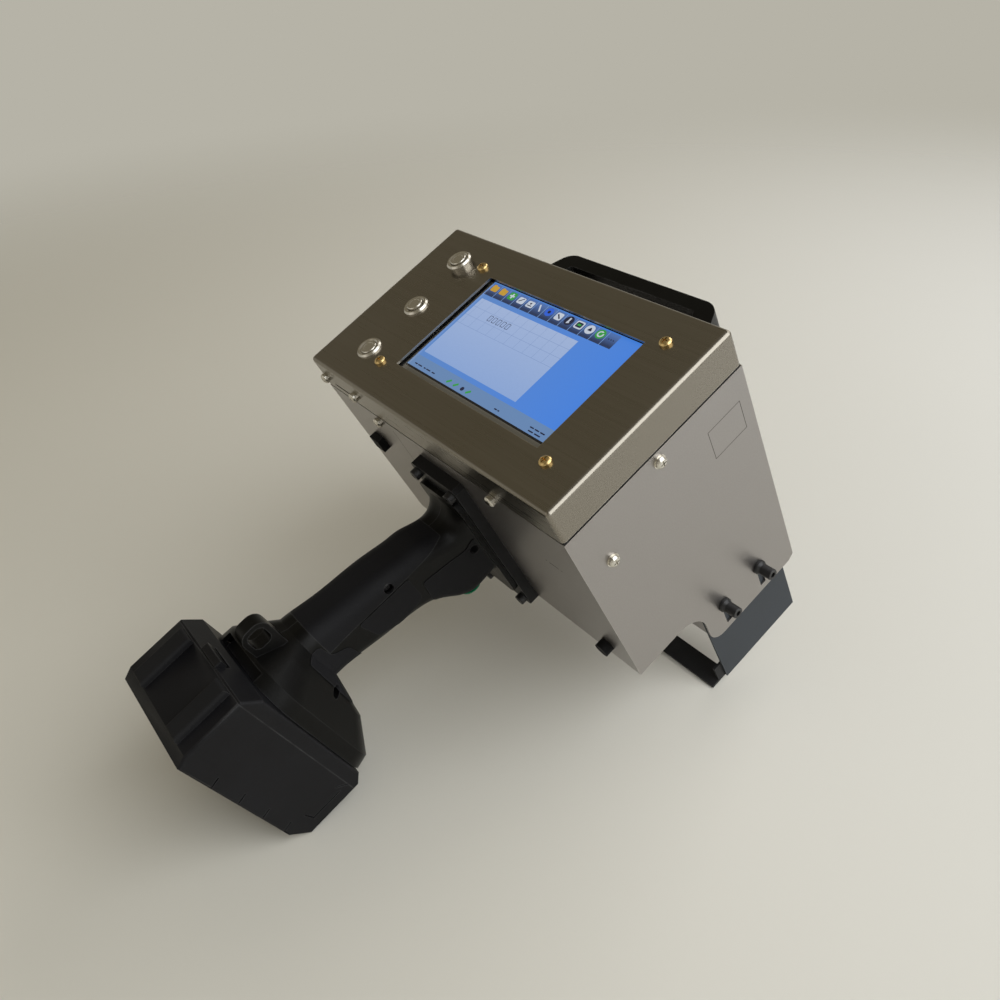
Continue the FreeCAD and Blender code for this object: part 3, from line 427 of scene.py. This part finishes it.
# left, right, front and rear edges on the case, in millimetres
PICTURE = (-54, 100, 36.6, 122.6)
SHEET = (-50.5, 50, 50.2, 106.4)
RULED = (-50.5, 50, 81.5, 106.3)
TOOLBAR = (-53.2, 74, 110.2, 121.6)
STATUS = (-54, 100, 36.6, 46.4)
CELL_X, CELL_Y, TOOL_X = 4.85, 4.15, 4.9  # half the pitch of the ruling and of the tools
screen, tree, shader = new_material("lit_screen")
across, back = case_axes(tree)[:2]
picture = inside_box(tree, across, back, *PICTURE)
slope = arithmetic(tree, "MULTIPLY_ADD", across, 0.0066, 0.36, clamp=True)
blue = mixed(tree, slope, (0.095, 0.23, 0.56), (0.050, 0.21, 0.72))
sheet_mask = inside_box(tree, across, back, *SHEET)
pale = mixed(tree, arithmetic(tree, "MULTIPLY_ADD", back, 0.016, -0.7, clamp=True),
             (0.245, 0.37, 0.66), (0.35, 0.45, 0.68))
shown = mixed(tree, sheet_mask, blue, pale)
ruled = inside_box(tree, across, back, *RULED)
line_x = arithmetic(tree, "LESS_THAN", arithmetic(
    tree, "ABSOLUTE", arithmetic(tree, "WRAP", arithmetic(tree, "SUBTRACT", across, 1.5),
                                 CELL_X, -CELL_X)), 0.14)
line_y = arithmetic(tree, "LESS_THAN", arithmetic(
    tree, "ABSOLUTE", arithmetic(tree, "WRAP", arithmetic(tree, "SUBTRACT", back, 81.7),
                                 CELL_Y, -CELL_Y)), 0.14)
lines = arithmetic(tree, "MULTIPLY", arithmetic(tree, "MAXIMUM", line_x, line_y), ruled)
shown = mixed(tree, arithmetic(tree, "MULTIPLY", lines, 0.55), shown, (0.12, 0.20, 0.42))
toolbar = inside_box(tree, across, back, *TOOLBAR)
shade = arithmetic(tree, "MULTIPLY_ADD", back, 0.11, -12.3, clamp=True)
shown = mixed(tree, toolbar, shown, mixed(tree, shade, (0.006, 0.014, 0.060),
                                          (0.075, 0.16, 0.42)))
gap = arithmetic(tree, "LESS_THAN", arithmetic(
    tree, "ABSOLUTE", arithmetic(tree, "WRAP", arithmetic(tree, "ADD", across, 53.2),
                                 TOOL_X, -TOOL_X)), 0.22)
shown = mixed(tree, arithmetic(tree, "MULTIPLY", gap, toolbar), shown, (0.18, 0.32, 0.62))
status = inside_box(tree, across, back, *STATUS)
shown = mixed(tree, status, shown, (0.125, 0.23, 0.43))
panel_grain = add_node(tree, "ShaderNodeTexNoise", Scale=700.0, Detail=2.0)
tree.links.new(object_place(tree), panel_grain.inputs["Vector"])
shown = mixed(tree, arithmetic(tree, "MULTIPLY", panel_grain.outputs["Fac"], 0.10), shown,
              (0.10, 0.16, 0.30))
shown = mixed(tree, picture, (0.004, 0.004, 0.005), shown)
tree.links.new(mixed(tree, picture, (0.006, 0.006, 0.007), (0.02, 0.03, 0.05)),
               shader.inputs["Base Color"])
tree.links.new(shown, shader.inputs["Emission Color"])
shader.inputs["Emission Strength"].default_value = 0.95
smear = placed_group(tree, handling, object_place(tree))
glaze = add_node(tree, "ShaderNodeMapRange")
glaze.inputs["To Min"].default_value = 0.05
glaze.inputs["To Max"].default_value = 0.16
tree.links.new(smear.outputs["Smears"], glaze.inputs["Value"])
tree.links.new(glaze.outputs["Result"], shader.inputs["Roughness"])
finish_nodes(screen, "touch_glass")

# ============================================================ screen marks
# The tool icons and status marks of the picture: thin flat shapes on the glass that glow like
# the picture around them. They stand for pictograms and text, and say nothing.
MARK_LEVEL = -3.37  # just over the glass, millimetres from the lid's top
case_frame = Matrix.Translation(case_origin) @ Matrix.Rotation(TILT, 4, "X")


def settle(piece, body, material):
    """Puts a piece modelled in case millimetres in its place and on its body."""
    piece.data.transform(piece.matrix_world)
    piece.matrix_world = Matrix.Identity(4)
    piece.data.transform(Matrix.Scale(0.001, 4))
    piece.data.transform(case_frame)
    if material is not None:
        piece.data.materials.clear()
        piece.data.materials.append(material)
    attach(piece, body)


def join_pieces(pieces, name):
    """Joins selected pieces into one object with its own mesh."""
    bpy.ops.object.select_all(action="DESELECT")
    for piece in pieces:
        piece.select_set(True)
    bpy.context.view_layer.objects.active = pieces[0]
    if len(pieces) > 1:
        bpy.ops.object.join()
    whole = bpy.context.object
    whole.name = whole.data.name = name
    bpy.ops.object.transform_apply(location=True, rotation=True, scale=True)
    return whole


def glow(name, colour):
    """A lit colour of the picture, a little uneven like a real panel."""
    made, tree, shader = new_material(name)
    patch = add_node(tree, "ShaderNodeTexNoise", Scale=700.0, Detail=2.0)
    tree.links.new(object_place(tree), patch.inputs["Vector"])
    dim = tuple(part * 0.72 for part in colour)
    tree.links.new(mixed(tree, patch.outputs["Fac"], dim, colour),
                   shader.inputs["Emission Color"])
    shader.inputs["Emission Strength"].default_value = 0.95
    shader.inputs["Base Color"].default_value = (0.01, 0.01, 0.015, 1)
    shader.inputs["Roughness"].default_value = 0.12
    return made


GLOWS = {"amber": glow("icon_amber", (0.62, 0.36, 0.04)),
         "green": glow("icon_green", (0.04, 0.36, 0.06)),
         "white": glow("icon_white", (0.62, 0.68, 0.78)),
         "navy": glow("icon_navy", (0.010, 0.014, 0.045)),
         "blue": glow("icon_blue", (0.03, 0.13, 0.72))}
icon_shapes = []


def icon(colour, x, y, width, depth=None, sides=4, turn=45.0, level=0.0):
    """One flat shape of an icon: a polygon with softened corners, 0.05 mm thick."""
    bpy.ops.object.select_all(action="DESELECT")
    bpy.ops.mesh.primitive_circle_add(vertices=sides, radius=width / 2, fill_type="NGON",
                                      location=(x, y, MARK_LEVEL + level))
    shape = bpy.context.object
    shape.rotation_euler.z = math.radians(turn)
    bpy.ops.object.transform_apply(location=False, rotation=True, scale=False)
    if sides == 4:
        shape.scale = (math.sqrt(2), math.sqrt(2) * (depth or width) / width, 1)
    else:
        shape.scale = (1, (depth or width) / width, 1)
    bpy.ops.object.mode_set(mode="EDIT")
    bpy.ops.mesh.select_all(action="SELECT")
    if sides <= 6:
        bpy.ops.mesh.bevel(offset=min(width, depth or width) * 0.16, segments=3,
                           affect="VERTICES")
        bpy.ops.mesh.select_all(action="SELECT")
    bpy.ops.mesh.extrude_region_move(TRANSFORM_OT_translate={"value": (0, 0, 0.05)})
    bpy.ops.mesh.select_all(action="SELECT")
    bpy.ops.mesh.normals_make_consistent(inside=False)
    bpy.ops.object.mode_set(mode="OBJECT")
    shape.data.materials.append(GLOWS[colour])
    icon_shapes.append(shape)
    return shape


def bar(colour, start, end, width, level=0.06):
    """A straight stroke from one point to another."""
    (x0, y0), (x1, y1) = start, end
    long = math.hypot(x1 - x0, y1 - y0)
    stroke = icon(colour, 0, 0, long, width, 4, 45.0, 0.0)
    bpy.ops.object.transform_apply(location=False, rotation=False, scale=True)
    stroke.rotation_euler.z = math.atan2(y1 - y0, x1 - x0)
    stroke.location = ((x0 + x1) / 2, (y0 + y1) / 2, MARK_LEVEL + level)
    return stroke


ICON_Y = 117.4
for x in (-48.2, -38.6):
    icon("amber", x, ICON_Y, 6.6, 5.2)
    icon("amber", x - 1.6, ICON_Y + 2.7, 2.6, 1.2, level=0.01)
icon("green", -28.6, ICON_Y, 6.8, 6.8)
bar("white", (-30.8, ICON_Y), (-26.4, ICON_Y), 1.3)
bar("white", (-28.6, ICON_Y - 2.2), (-28.6, ICON_Y + 2.2), 1.3, 0.07)
icon("white", -18.4, ICON_Y - 0.4, 6.6, 5.6)
bar("navy", (-20.2, ICON_Y - 1.6), (-16.8, ICON_Y + 1.8), 0.8)
icon("white", -8.8, ICON_Y - 0.4, 6.6, 5.6)
bar("navy", (-10.8, ICON_Y - 1.6), (-6.8, ICON_Y - 1.6), 0.7)
icon("navy", -8.8, ICON_Y + 0.4, 2.6, 2.6, 3, 90, 0.06)
bar("white", (-0.8, ICON_Y + 2.6), (2.6, ICON_Y - 2.8), 1.2)
icon("blue", 10.4, ICON_Y, 7.4, 7.4, 8, 0)
icon("navy", 10.4, ICON_Y, 2.6, 2.6, 16, 0, 0.06)
icon("white", 20.2, ICON_Y - 0.2, 6.2, 6.2)
bar("navy", (18.4, ICON_Y + 1.4), (22.0, ICON_Y - 1.8), 1.0)
icon("navy", 30.0, ICON_Y, 7.6, 7.6, 24, 0)
bar("white", (30.0, ICON_Y + 2.4), (30.0, ICON_Y - 1.4), 1.4)
icon("white", 30.0, ICON_Y - 1.6, 3.6, 2.6, 3, -90, 0.07)
icon("white", 39.8, ICON_Y, 7.2, 6.4)
icon("navy", 39.8, ICON_Y, 5.2, 4.2, level=0.06)
icon("green", 39.8, ICON_Y, 3.0, 1.6, level=0.12)
icon("white", 49.6, ICON_Y, 7.4, 7.4, 24, 0)
icon("navy", 49.8, ICON_Y, 4.4, 4.4, 3, 0, 0.06)
icon("green", 59.4, ICON_Y, 7.6, 7.6, 24, 0)
icon("white", 59.4, ICON_Y, 5.0, 5.0, 24, 0, 0.06)
icon("green", 59.4, ICON_Y, 3.0, 3.0, 24, 0, 0.12)
bar("green", (59.4, ICON_Y), (62.2, ICON_Y + 2.4), 1.3, 0.13)
for step in (-2, 0, 2):
    icon("navy", 69.4 + step, ICON_Y - 0.8, 1.0, 1.0, 12, 0)
STATUS_Y = 40.2
for x in (-8.3, -0.8, 12.9):
    bar("green", (x - 1.6, STATUS_Y - 1.3), (x + 1.5, STATUS_Y + 1.5), 1.7, 0.01)
icon("navy", 6.4, STATUS_Y, 3.2, 3.2, 16, 0)
for x, long in ((-46.4, 3.0), (-41.8, 4.4), (-36.2, 2.2), (-31.9, 4.6), (-26.0, 3.4),
                (42.4, 2.6), (45.2, 1.6)):
    bar("navy", (x - long / 2, STATUS_Y - 0.6), (x + long / 2, STATUS_Y - 0.6), 0.9, 0.01)
for row, spans in ((0, ((76.0, 3.4), (80.6, 3.8), (85.6, 4.0))),
                   (-2.6, ((77.4, 4.4), (83.4, 5.2)))):
    for x, long in spans:
        bar("navy", (x - long / 2, STATUS_Y + 0.9 + row), (x + long / 2, STATUS_Y + 0.9 + row),
            0.9, 0.01)
for x in (-27.2, -22.4, -17.6, -12.8, -8.0):
    for rise in (-2.3, 2.3):
        bar("navy", (x - 1.4, 94.6 + rise), (x + 1.4, 94.6 + rise), 0.34, 0.01)
        bar("navy", (x + rise * 0.61, 92.3), (x + rise * 0.61, 96.9), 0.34, 0.02)
icons = join_pieces(icon_shapes, "screen_icons")
settle(icons, "case", None)

# ============================================================ brass screws
# Four pan head screws in plain brass go through the lid and hold the display bracket. They are
# turned, and bright but for a little handling.

def turned_metal(name, dark, light, rough, metallic=1.0):
    """Turned or pressed small parts: fine grain, cloudy gloss, darker in the smears, and edges painted lighter,
    part wear and part painted highlight.
    """
    made, tree, shader = new_material(name)
    place = object_place(tree)
    smear = placed_group(tree, handling, place)
    wear_and_highlight = placed_group(tree, edge_wear_and_highlight, place, Width=0.0003)
    speckle = add_node(tree, "ShaderNodeTexNoise", Scale=1400.0, Detail=3.0)
    tree.links.new(place, speckle.inputs["Vector"])
    ground = mixed(tree, speckle.outputs["Fac"], dark, light)
    # Edges painted lighter: part wear, part painted highlight.
    tree.links.new(mixed(tree, wear_and_highlight.outputs["Mask"], ground,
                         tuple(min(1.0, part * 1.25 + 0.03) for part in light)),
                   shader.inputs["Base Color"])
    gloss = add_node(tree, "ShaderNodeMapRange")
    gloss.inputs["To Min"].default_value = rough[0]
    gloss.inputs["To Max"].default_value = rough[1]
    tree.links.new(smear.outputs["Smears"], gloss.inputs["Value"])
    tree.links.new(gloss.outputs["Result"], shader.inputs["Roughness"])
    shader.inputs["Metallic"].default_value = metallic
    bumped(tree, shader, [(speckle.outputs["Fac"], 0.15, 0.00003)])
    return made


brass = turned_metal("plain_brass", (0.60, 0.42, 0.17), (0.78, 0.58, 0.28), (0.20, 0.36))
finish_nodes(brass, "display_screws")

# ============================================================ push buttons
# Three 16 mm stainless push buttons: a turned bezel, a flat dished cap that presses in, and a
# thin nut behind the lid that clamps it.
button_steel = turned_metal("button_steel", (0.60, 0.57, 0.52), (0.72, 0.69, 0.63),
                            (0.20, 0.34))
finish_nodes(button_steel, "button_housings", "button_nuts", "front_button_cap",
             "middle_button_cap", "rear_button_cap")

# ============================================================ nickel screws
# Pan head screws in nickel plated steel, with spring washers on the front skirt and flat washers
# on the ends. The guide's nuts inside the box have the same plating.
nickel = turned_metal("nickel_plate", (0.58, 0.55, 0.49), (0.76, 0.73, 0.66), (0.16, 0.30))
finish_nodes(nickel, "front_screws", "spring_washers", "end_screws", "end_washers",
             "guide_nuts")

# ============================================================ marks on the box
# Small marks left by fabrication: a laser etched blank label outline on the right end, a
# drain slit with two pilot dots and a folded sheet edge on the front. The slit is not cut: a dark
# stroke paints the shade inside it.
etch_and_slit_shade = turned_metal("etch_and_slit_shade_line", (0.06, 0.055, 0.05), (0.11, 0.10, 0.09), (0.45, 0.60), 0.6)


def scribed(name, strokes, axis):
    """Thin dark strokes, 0.06 mm proud, on a face of the box, etched lines and painted shade; strokes are (ends,
    width).
    """
    made = []
    for (x0, y0, z0), (x1, y1, z1), width in strokes:
        start, end = Vector((x0, y0, z0)), Vector((x1, y1, z1))
        run = end - start
        bpy.ops.object.select_all(action="DESELECT")
        bpy.ops.mesh.primitive_cube_add(size=1, location=(start + end) / 2)
        line = bpy.context.object
        spread = Vector((width, width, width))
        long_axis = max(range(3), key=lambda place: abs(run[place]))
        spread[long_axis] = abs(run[long_axis]) + width
        spread[axis] = 0.12
        line.scale = spread
        bpy.ops.object.transform_apply(location=False, rotation=False, scale=True)
        bpy.ops.object.mode_set(mode="EDIT")
        bpy.ops.mesh.select_all(action="SELECT")
        bpy.ops.mesh.bevel(offset=0.04, segments=1)
        bpy.ops.object.mode_set(mode="OBJECT")
        made.append(line)
    whole = join_pieces(made, name)
    settle(whole, "case", etch_and_slit_shade)


END = 135.0
scribed("label_outline",
        [((END, 114, -51), (END, 143, -51), 0.45), ((END, 114, -75), (END, 143, -75), 0.45),
         ((END, 114, -51), (END, 114, -75), 0.45), ((END, 143, -51), (END, 143, -75), 0.45)], 0)
# Painted shade: the 0.9 mm stroke stands for the shade inside the drain slit.
scribed("front_marks",
        [((96, 0, -78.5), (104, 0, -78.5), 0.9), ((92.6, 0, -78.5), (93.0, 0, -78.5), 0.8),
         ((107.2, 0, -78.5), (107.6, 0, -78.5), 0.8), ((-51, 0, -36), (-51, 0, -180), 0.35)], 1)

# ============================================================ handle plate and bolts
# An 8.5 mm black plate on the front of the box takes the grip; its screws and the guide's are
# socket cap screws in black oxide.
plate_black = dark_moulding("plate_black", (0.007, 0.007, 0.008), (0.014, 0.014, 0.016),
                            (0.34, 0.48), 0.0007, 0.00004, (0.10, 0.10, 0.105), 0.0007)
oxide = turned_metal("black_oxide", (0.012, 0.012, 0.013), (0.028, 0.028, 0.030),
                     (0.30, 0.44), metallic=0.35)
finish_nodes(plate_black, "handle_plate", "nozzle_plate")
finish_nodes(oxide, "plate_bolts", "grip_screws", "rear_handle_screws", "guide_bolts",
             "guide_collars")

# ============================================================ grip
# Two glass filled nylon halves screwed together, with a soft pad moulded over the palm side, a
# lanyard loop at the foot, and a push button in a green ring under the forefinger.
nylon = dark_moulding("black_nylon", (0.0016, 0.0015, 0.0014), (0.0034, 0.0033, 0.0032),
                      (0.30, 0.44), 0.0009, 0.00010, (0.05, 0.05, 0.052), 0.0010)
soft_pad = dark_moulding("soft_overmould", (0.0046, 0.0046, 0.0056), (0.0080, 0.0080, 0.0098),
                         (0.52, 0.68), 0.0008, 0.00012, (0.035, 0.035, 0.036), 0.0008)
trigger_black = dark_moulding("trigger_black", (0.006, 0.006, 0.007), (0.011, 0.011, 0.012),
                              (0.26, 0.40), 0.0010, 0.00005, (0.06, 0.06, 0.06), 0.0007)
ring_green = dark_moulding("ring_green", (0.006, 0.16, 0.075), (0.010, 0.22, 0.105),
                           (0.20, 0.32), 0.0010, 0.00003, (0.05, 0.38, 0.22), 0.0006)
finish_nodes(nylon, "grip_shell_left", "grip_shell_right", "lanyard_loop")
finish_nodes(soft_pad, "palm_pad")
finish_nodes(trigger_black, "trigger_button", "latch_button")
finish_nodes(ring_green, "trigger_bezel")

# ============================================================ grip panels
# Soft panels moulded over the two nylon halves, proud by about half a millimetre: on each side
# one under the palm pad, one at the foot and one round the trigger.
PANEL_PROUD = 0.55


def case_copy(*names):
    """A copy of CAD nodes in case millimetres, joined, merged and ready to be cut."""
    copies = []
    for name in names:
        copy = nodes[name].copy()
        copy.data = nodes[name].data.copy()
        for key in list(copy.keys()):
            del copy[key]
        copy.parent = None
        scene.collection.objects.link(copy)
        copy.data.transform(case_frame.inverted())
        copy.data.transform(Matrix.Scale(1000, 4))
        copies.append(copy)
    whole = join_pieces(copies, names[0] + "_worked")
    bpy.ops.object.mode_set(mode="EDIT")
    bpy.ops.mesh.select_all(action="SELECT")
    bpy.ops.mesh.remove_doubles(threshold=0.01)
    bpy.ops.mesh.normals_make_consistent(inside=False)
    bpy.ops.object.mode_set(mode="OBJECT")
    return whole


def prism(outline, low, high, round_by=2.5):
    """A solid with the given outline in back and up, from one side to the other."""
    bpy.ops.object.select_all(action="DESELECT")
    bpy.ops.mesh.primitive_circle_add(vertices=len(outline), radius=1, fill_type="NGON")
    block = bpy.context.object
    for corner, (y, z) in zip(block.data.vertices, outline):
        corner.co = (low, y, z)
    bpy.ops.object.mode_set(mode="EDIT")
    bpy.ops.mesh.select_all(action="SELECT")
    bpy.ops.mesh.bevel(offset=round_by, segments=4, affect="VERTICES")
    bpy.ops.mesh.select_all(action="SELECT")
    bpy.ops.mesh.extrude_region_move(TRANSFORM_OT_translate={"value": (high - low, 0, 0)})
    bpy.ops.mesh.select_all(action="SELECT")
    bpy.ops.mesh.normals_make_consistent(inside=False)
    bpy.ops.object.mode_set(mode="OBJECT")
    return block


def boolean(piece, tool, operation):
    """Cuts, joins or crosses a piece with a tool, and removes the tool."""
    step = piece.modifiers.new(operation.lower(), "BOOLEAN")
    step.operation = operation
    step.solver = "EXACT"
    step.use_self = True
    step.object = tool
    bpy.ops.object.select_all(action="DESELECT")
    piece.select_set(True)
    bpy.context.view_layer.objects.active = piece
    bpy.ops.object.modifier_apply(modifier=step.name)
    bpy.data.objects.remove(tool)


def smooth_piece(piece, angle=32):
    """Smooth shading that keeps edges sharper than `angle` degrees."""
    bpy.ops.object.select_all(action="DESELECT")
    piece.select_set(True)
    bpy.context.view_layer.objects.active = piece
    bpy.ops.object.shade_smooth_by_angle(angle=math.radians(angle))


PANELS = {
    "palm_panel": [(-110, -79), (-66, -79), (-66, -101), (-88, -107), (-105, -98)],
    "foot_panel": [(-148, -66), (-137, -66), (-135, -80), (-124, -86), (-121, -103),
                   (-127, -118), (-149, -124)],
    "trigger_panel": [(-60, -92), (-24, -98), (-14, -93), (-13, -128), (-26, -146), (-48, -140),
                      (-62, -112)],
}
for side, shell_name in ((1, "grip_shell_right"), (-1, "grip_shell_left")):
    for panel_name, outline in PANELS.items():
        skin = case_copy(shell_name)
        bpy.ops.object.mode_set(mode="EDIT")
        bpy.ops.mesh.select_all(action="SELECT")
        bpy.ops.transform.shrink_fatten(value=PANEL_PROUD)
        bpy.ops.object.mode_set(mode="OBJECT")
        boolean(skin, prism(outline, 7 * side, 34 * side), "INTERSECT")
        skin.name = skin.data.name = panel_name + ("_right" if side > 0 else "_left")
        settle(skin, "case", soft_pad)
        smooth_piece(skin)

# ============================================================ battery
# A slide-on pack: a tub and a lid moulded in satin black plastic, with rubber bumpers on the
# rear end, a latch button, and six wrapped cells inside.
pack_black = dark_moulding("pack_black", (0.0050, 0.0050, 0.0060), (0.0090, 0.0090, 0.0108),
                           (0.38, 0.54), 0.0008, 0.00009, (0.055, 0.055, 0.057), 0.0010)
cell_blue = dark_moulding("cell_wrap", (0.02, 0.10, 0.30), (0.03, 0.14, 0.38),
                          (0.22, 0.34), 0.0015, 0.00003, (0.10, 0.25, 0.50), 0.0004)
finish_nodes(pack_black, "battery_case", "battery_top")
finish_nodes(rubber, "battery_bumpers")
finish_nodes(cell_blue, "battery_cells")

# ============================================================ battery tub
# The tub is moulded in one piece: a plain panel on each flank with a groove at its front end,
# and notches along the lower edge where the flank meets the bottom ribs.


def groove_box(low, high, turn=0.0):
    """A block to cut with, between two corners in case millimetres, turned about X."""
    low, high = Vector(low), Vector(high)
    bpy.ops.object.select_all(action="DESELECT")
    bpy.ops.mesh.primitive_cube_add(size=1, location=(low + high) / 2)
    block = bpy.context.object
    block.scale = high - low
    block.rotation_euler.x = math.radians(turn)
    bpy.ops.object.transform_apply(location=True, rotation=True, scale=True)
    return block


PACK_SIDE = 47.7  # half the pack's width
RIB_LINES = (-59, -86, -112, -137)  # where the bottom ribs part, up from the lid's top
tub = case_copy("battery_case")
cutters = []
for side in (-1, 1):
    near, far = sorted((side * (PACK_SIDE - 1.1), side * (PACK_SIDE + 2)))
    for z in RIB_LINES:
        cutters.append(groove_box((near, -240, z - 0.6), (far, -228.5, z + 0.6), 14))
    cutters.append(groove_box((near, -219.4, -150.0), (far, -194.8, -149.0)))
    cutters.append(groove_box((near, -196.4, -148.2), (far, -186.0, -147.2), -46))
    cutters.append(groove_box((near, -220.0, -149.9), (far, -219.0, -141.0), 12))
for z in RIB_LINES:
    cutters.append(groove_box((-60, -238, z - 0.7), (60, -235.8, z + 0.7)))
boolean(tub, join_pieces(cutters, "cutters"), "DIFFERENCE")
tub.name = tub.data.name = "battery_tub"
settle(tub, "battery", pack_black)
smooth_piece(tub, 25)
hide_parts("battery_case")

# ============================================================ rear handle
# A bow handle moulded in black plastic with a smooth satin skin, screwed to the back of the box
# through its two feet.
bow_black = dark_moulding("bow_black", (0.0018, 0.0018, 0.0018), (0.0040, 0.0040, 0.0038),
                          (0.28, 0.42), 0.0010, 0.00006, (0.055, 0.055, 0.056), 0.0012)
finish_nodes(bow_black, "rear_handle")

# ============================================================ print engine
# Inside the box: a translucent moulded ink tank and a small pump on the tray, and a green
# control board on the front wall. None of it shows when the lid is on.
tank_milky = dark_moulding("tank_milky", (0.62, 0.62, 0.58), (0.72, 0.72, 0.68),
                           (0.30, 0.42), 0.0015, 0.00004, (0.82, 0.82, 0.78), 0.0008)
board_green = dark_moulding("board_green", (0.010, 0.10, 0.045), (0.016, 0.15, 0.065),
                            (0.26, 0.38), 0.0020, 0.00003, (0.20, 0.30, 0.16), 0.0004)
finish_nodes(tank_milky, "ink_tank")
finish_nodes(board_green, "control_board")
finish_nodes(pack_black, "ink_pump")

# ============================================================ sheet guide
# Two folded steel plates in satin grey powder coat and a black cross rail between them, bolted
# through slots in the box so that the frame slides up and down.
powder_grey = dark_moulding("powder_grey", (0.034, 0.039, 0.046), (0.048, 0.054, 0.064),
                            (0.42, 0.58), 0.0005, 0.00006, (0.16, 0.17, 0.18), 0.0007)
powder_black = dark_moulding("powder_black", (0.014, 0.014, 0.015), (0.024, 0.024, 0.026),
                             (0.42, 0.58), 0.0005, 0.00006, (0.08, 0.08, 0.08), 0.0007)
finish_nodes(powder_grey, "guide_plate_left", "guide_plate_right")
finish_nodes(powder_black, "guide_rail")
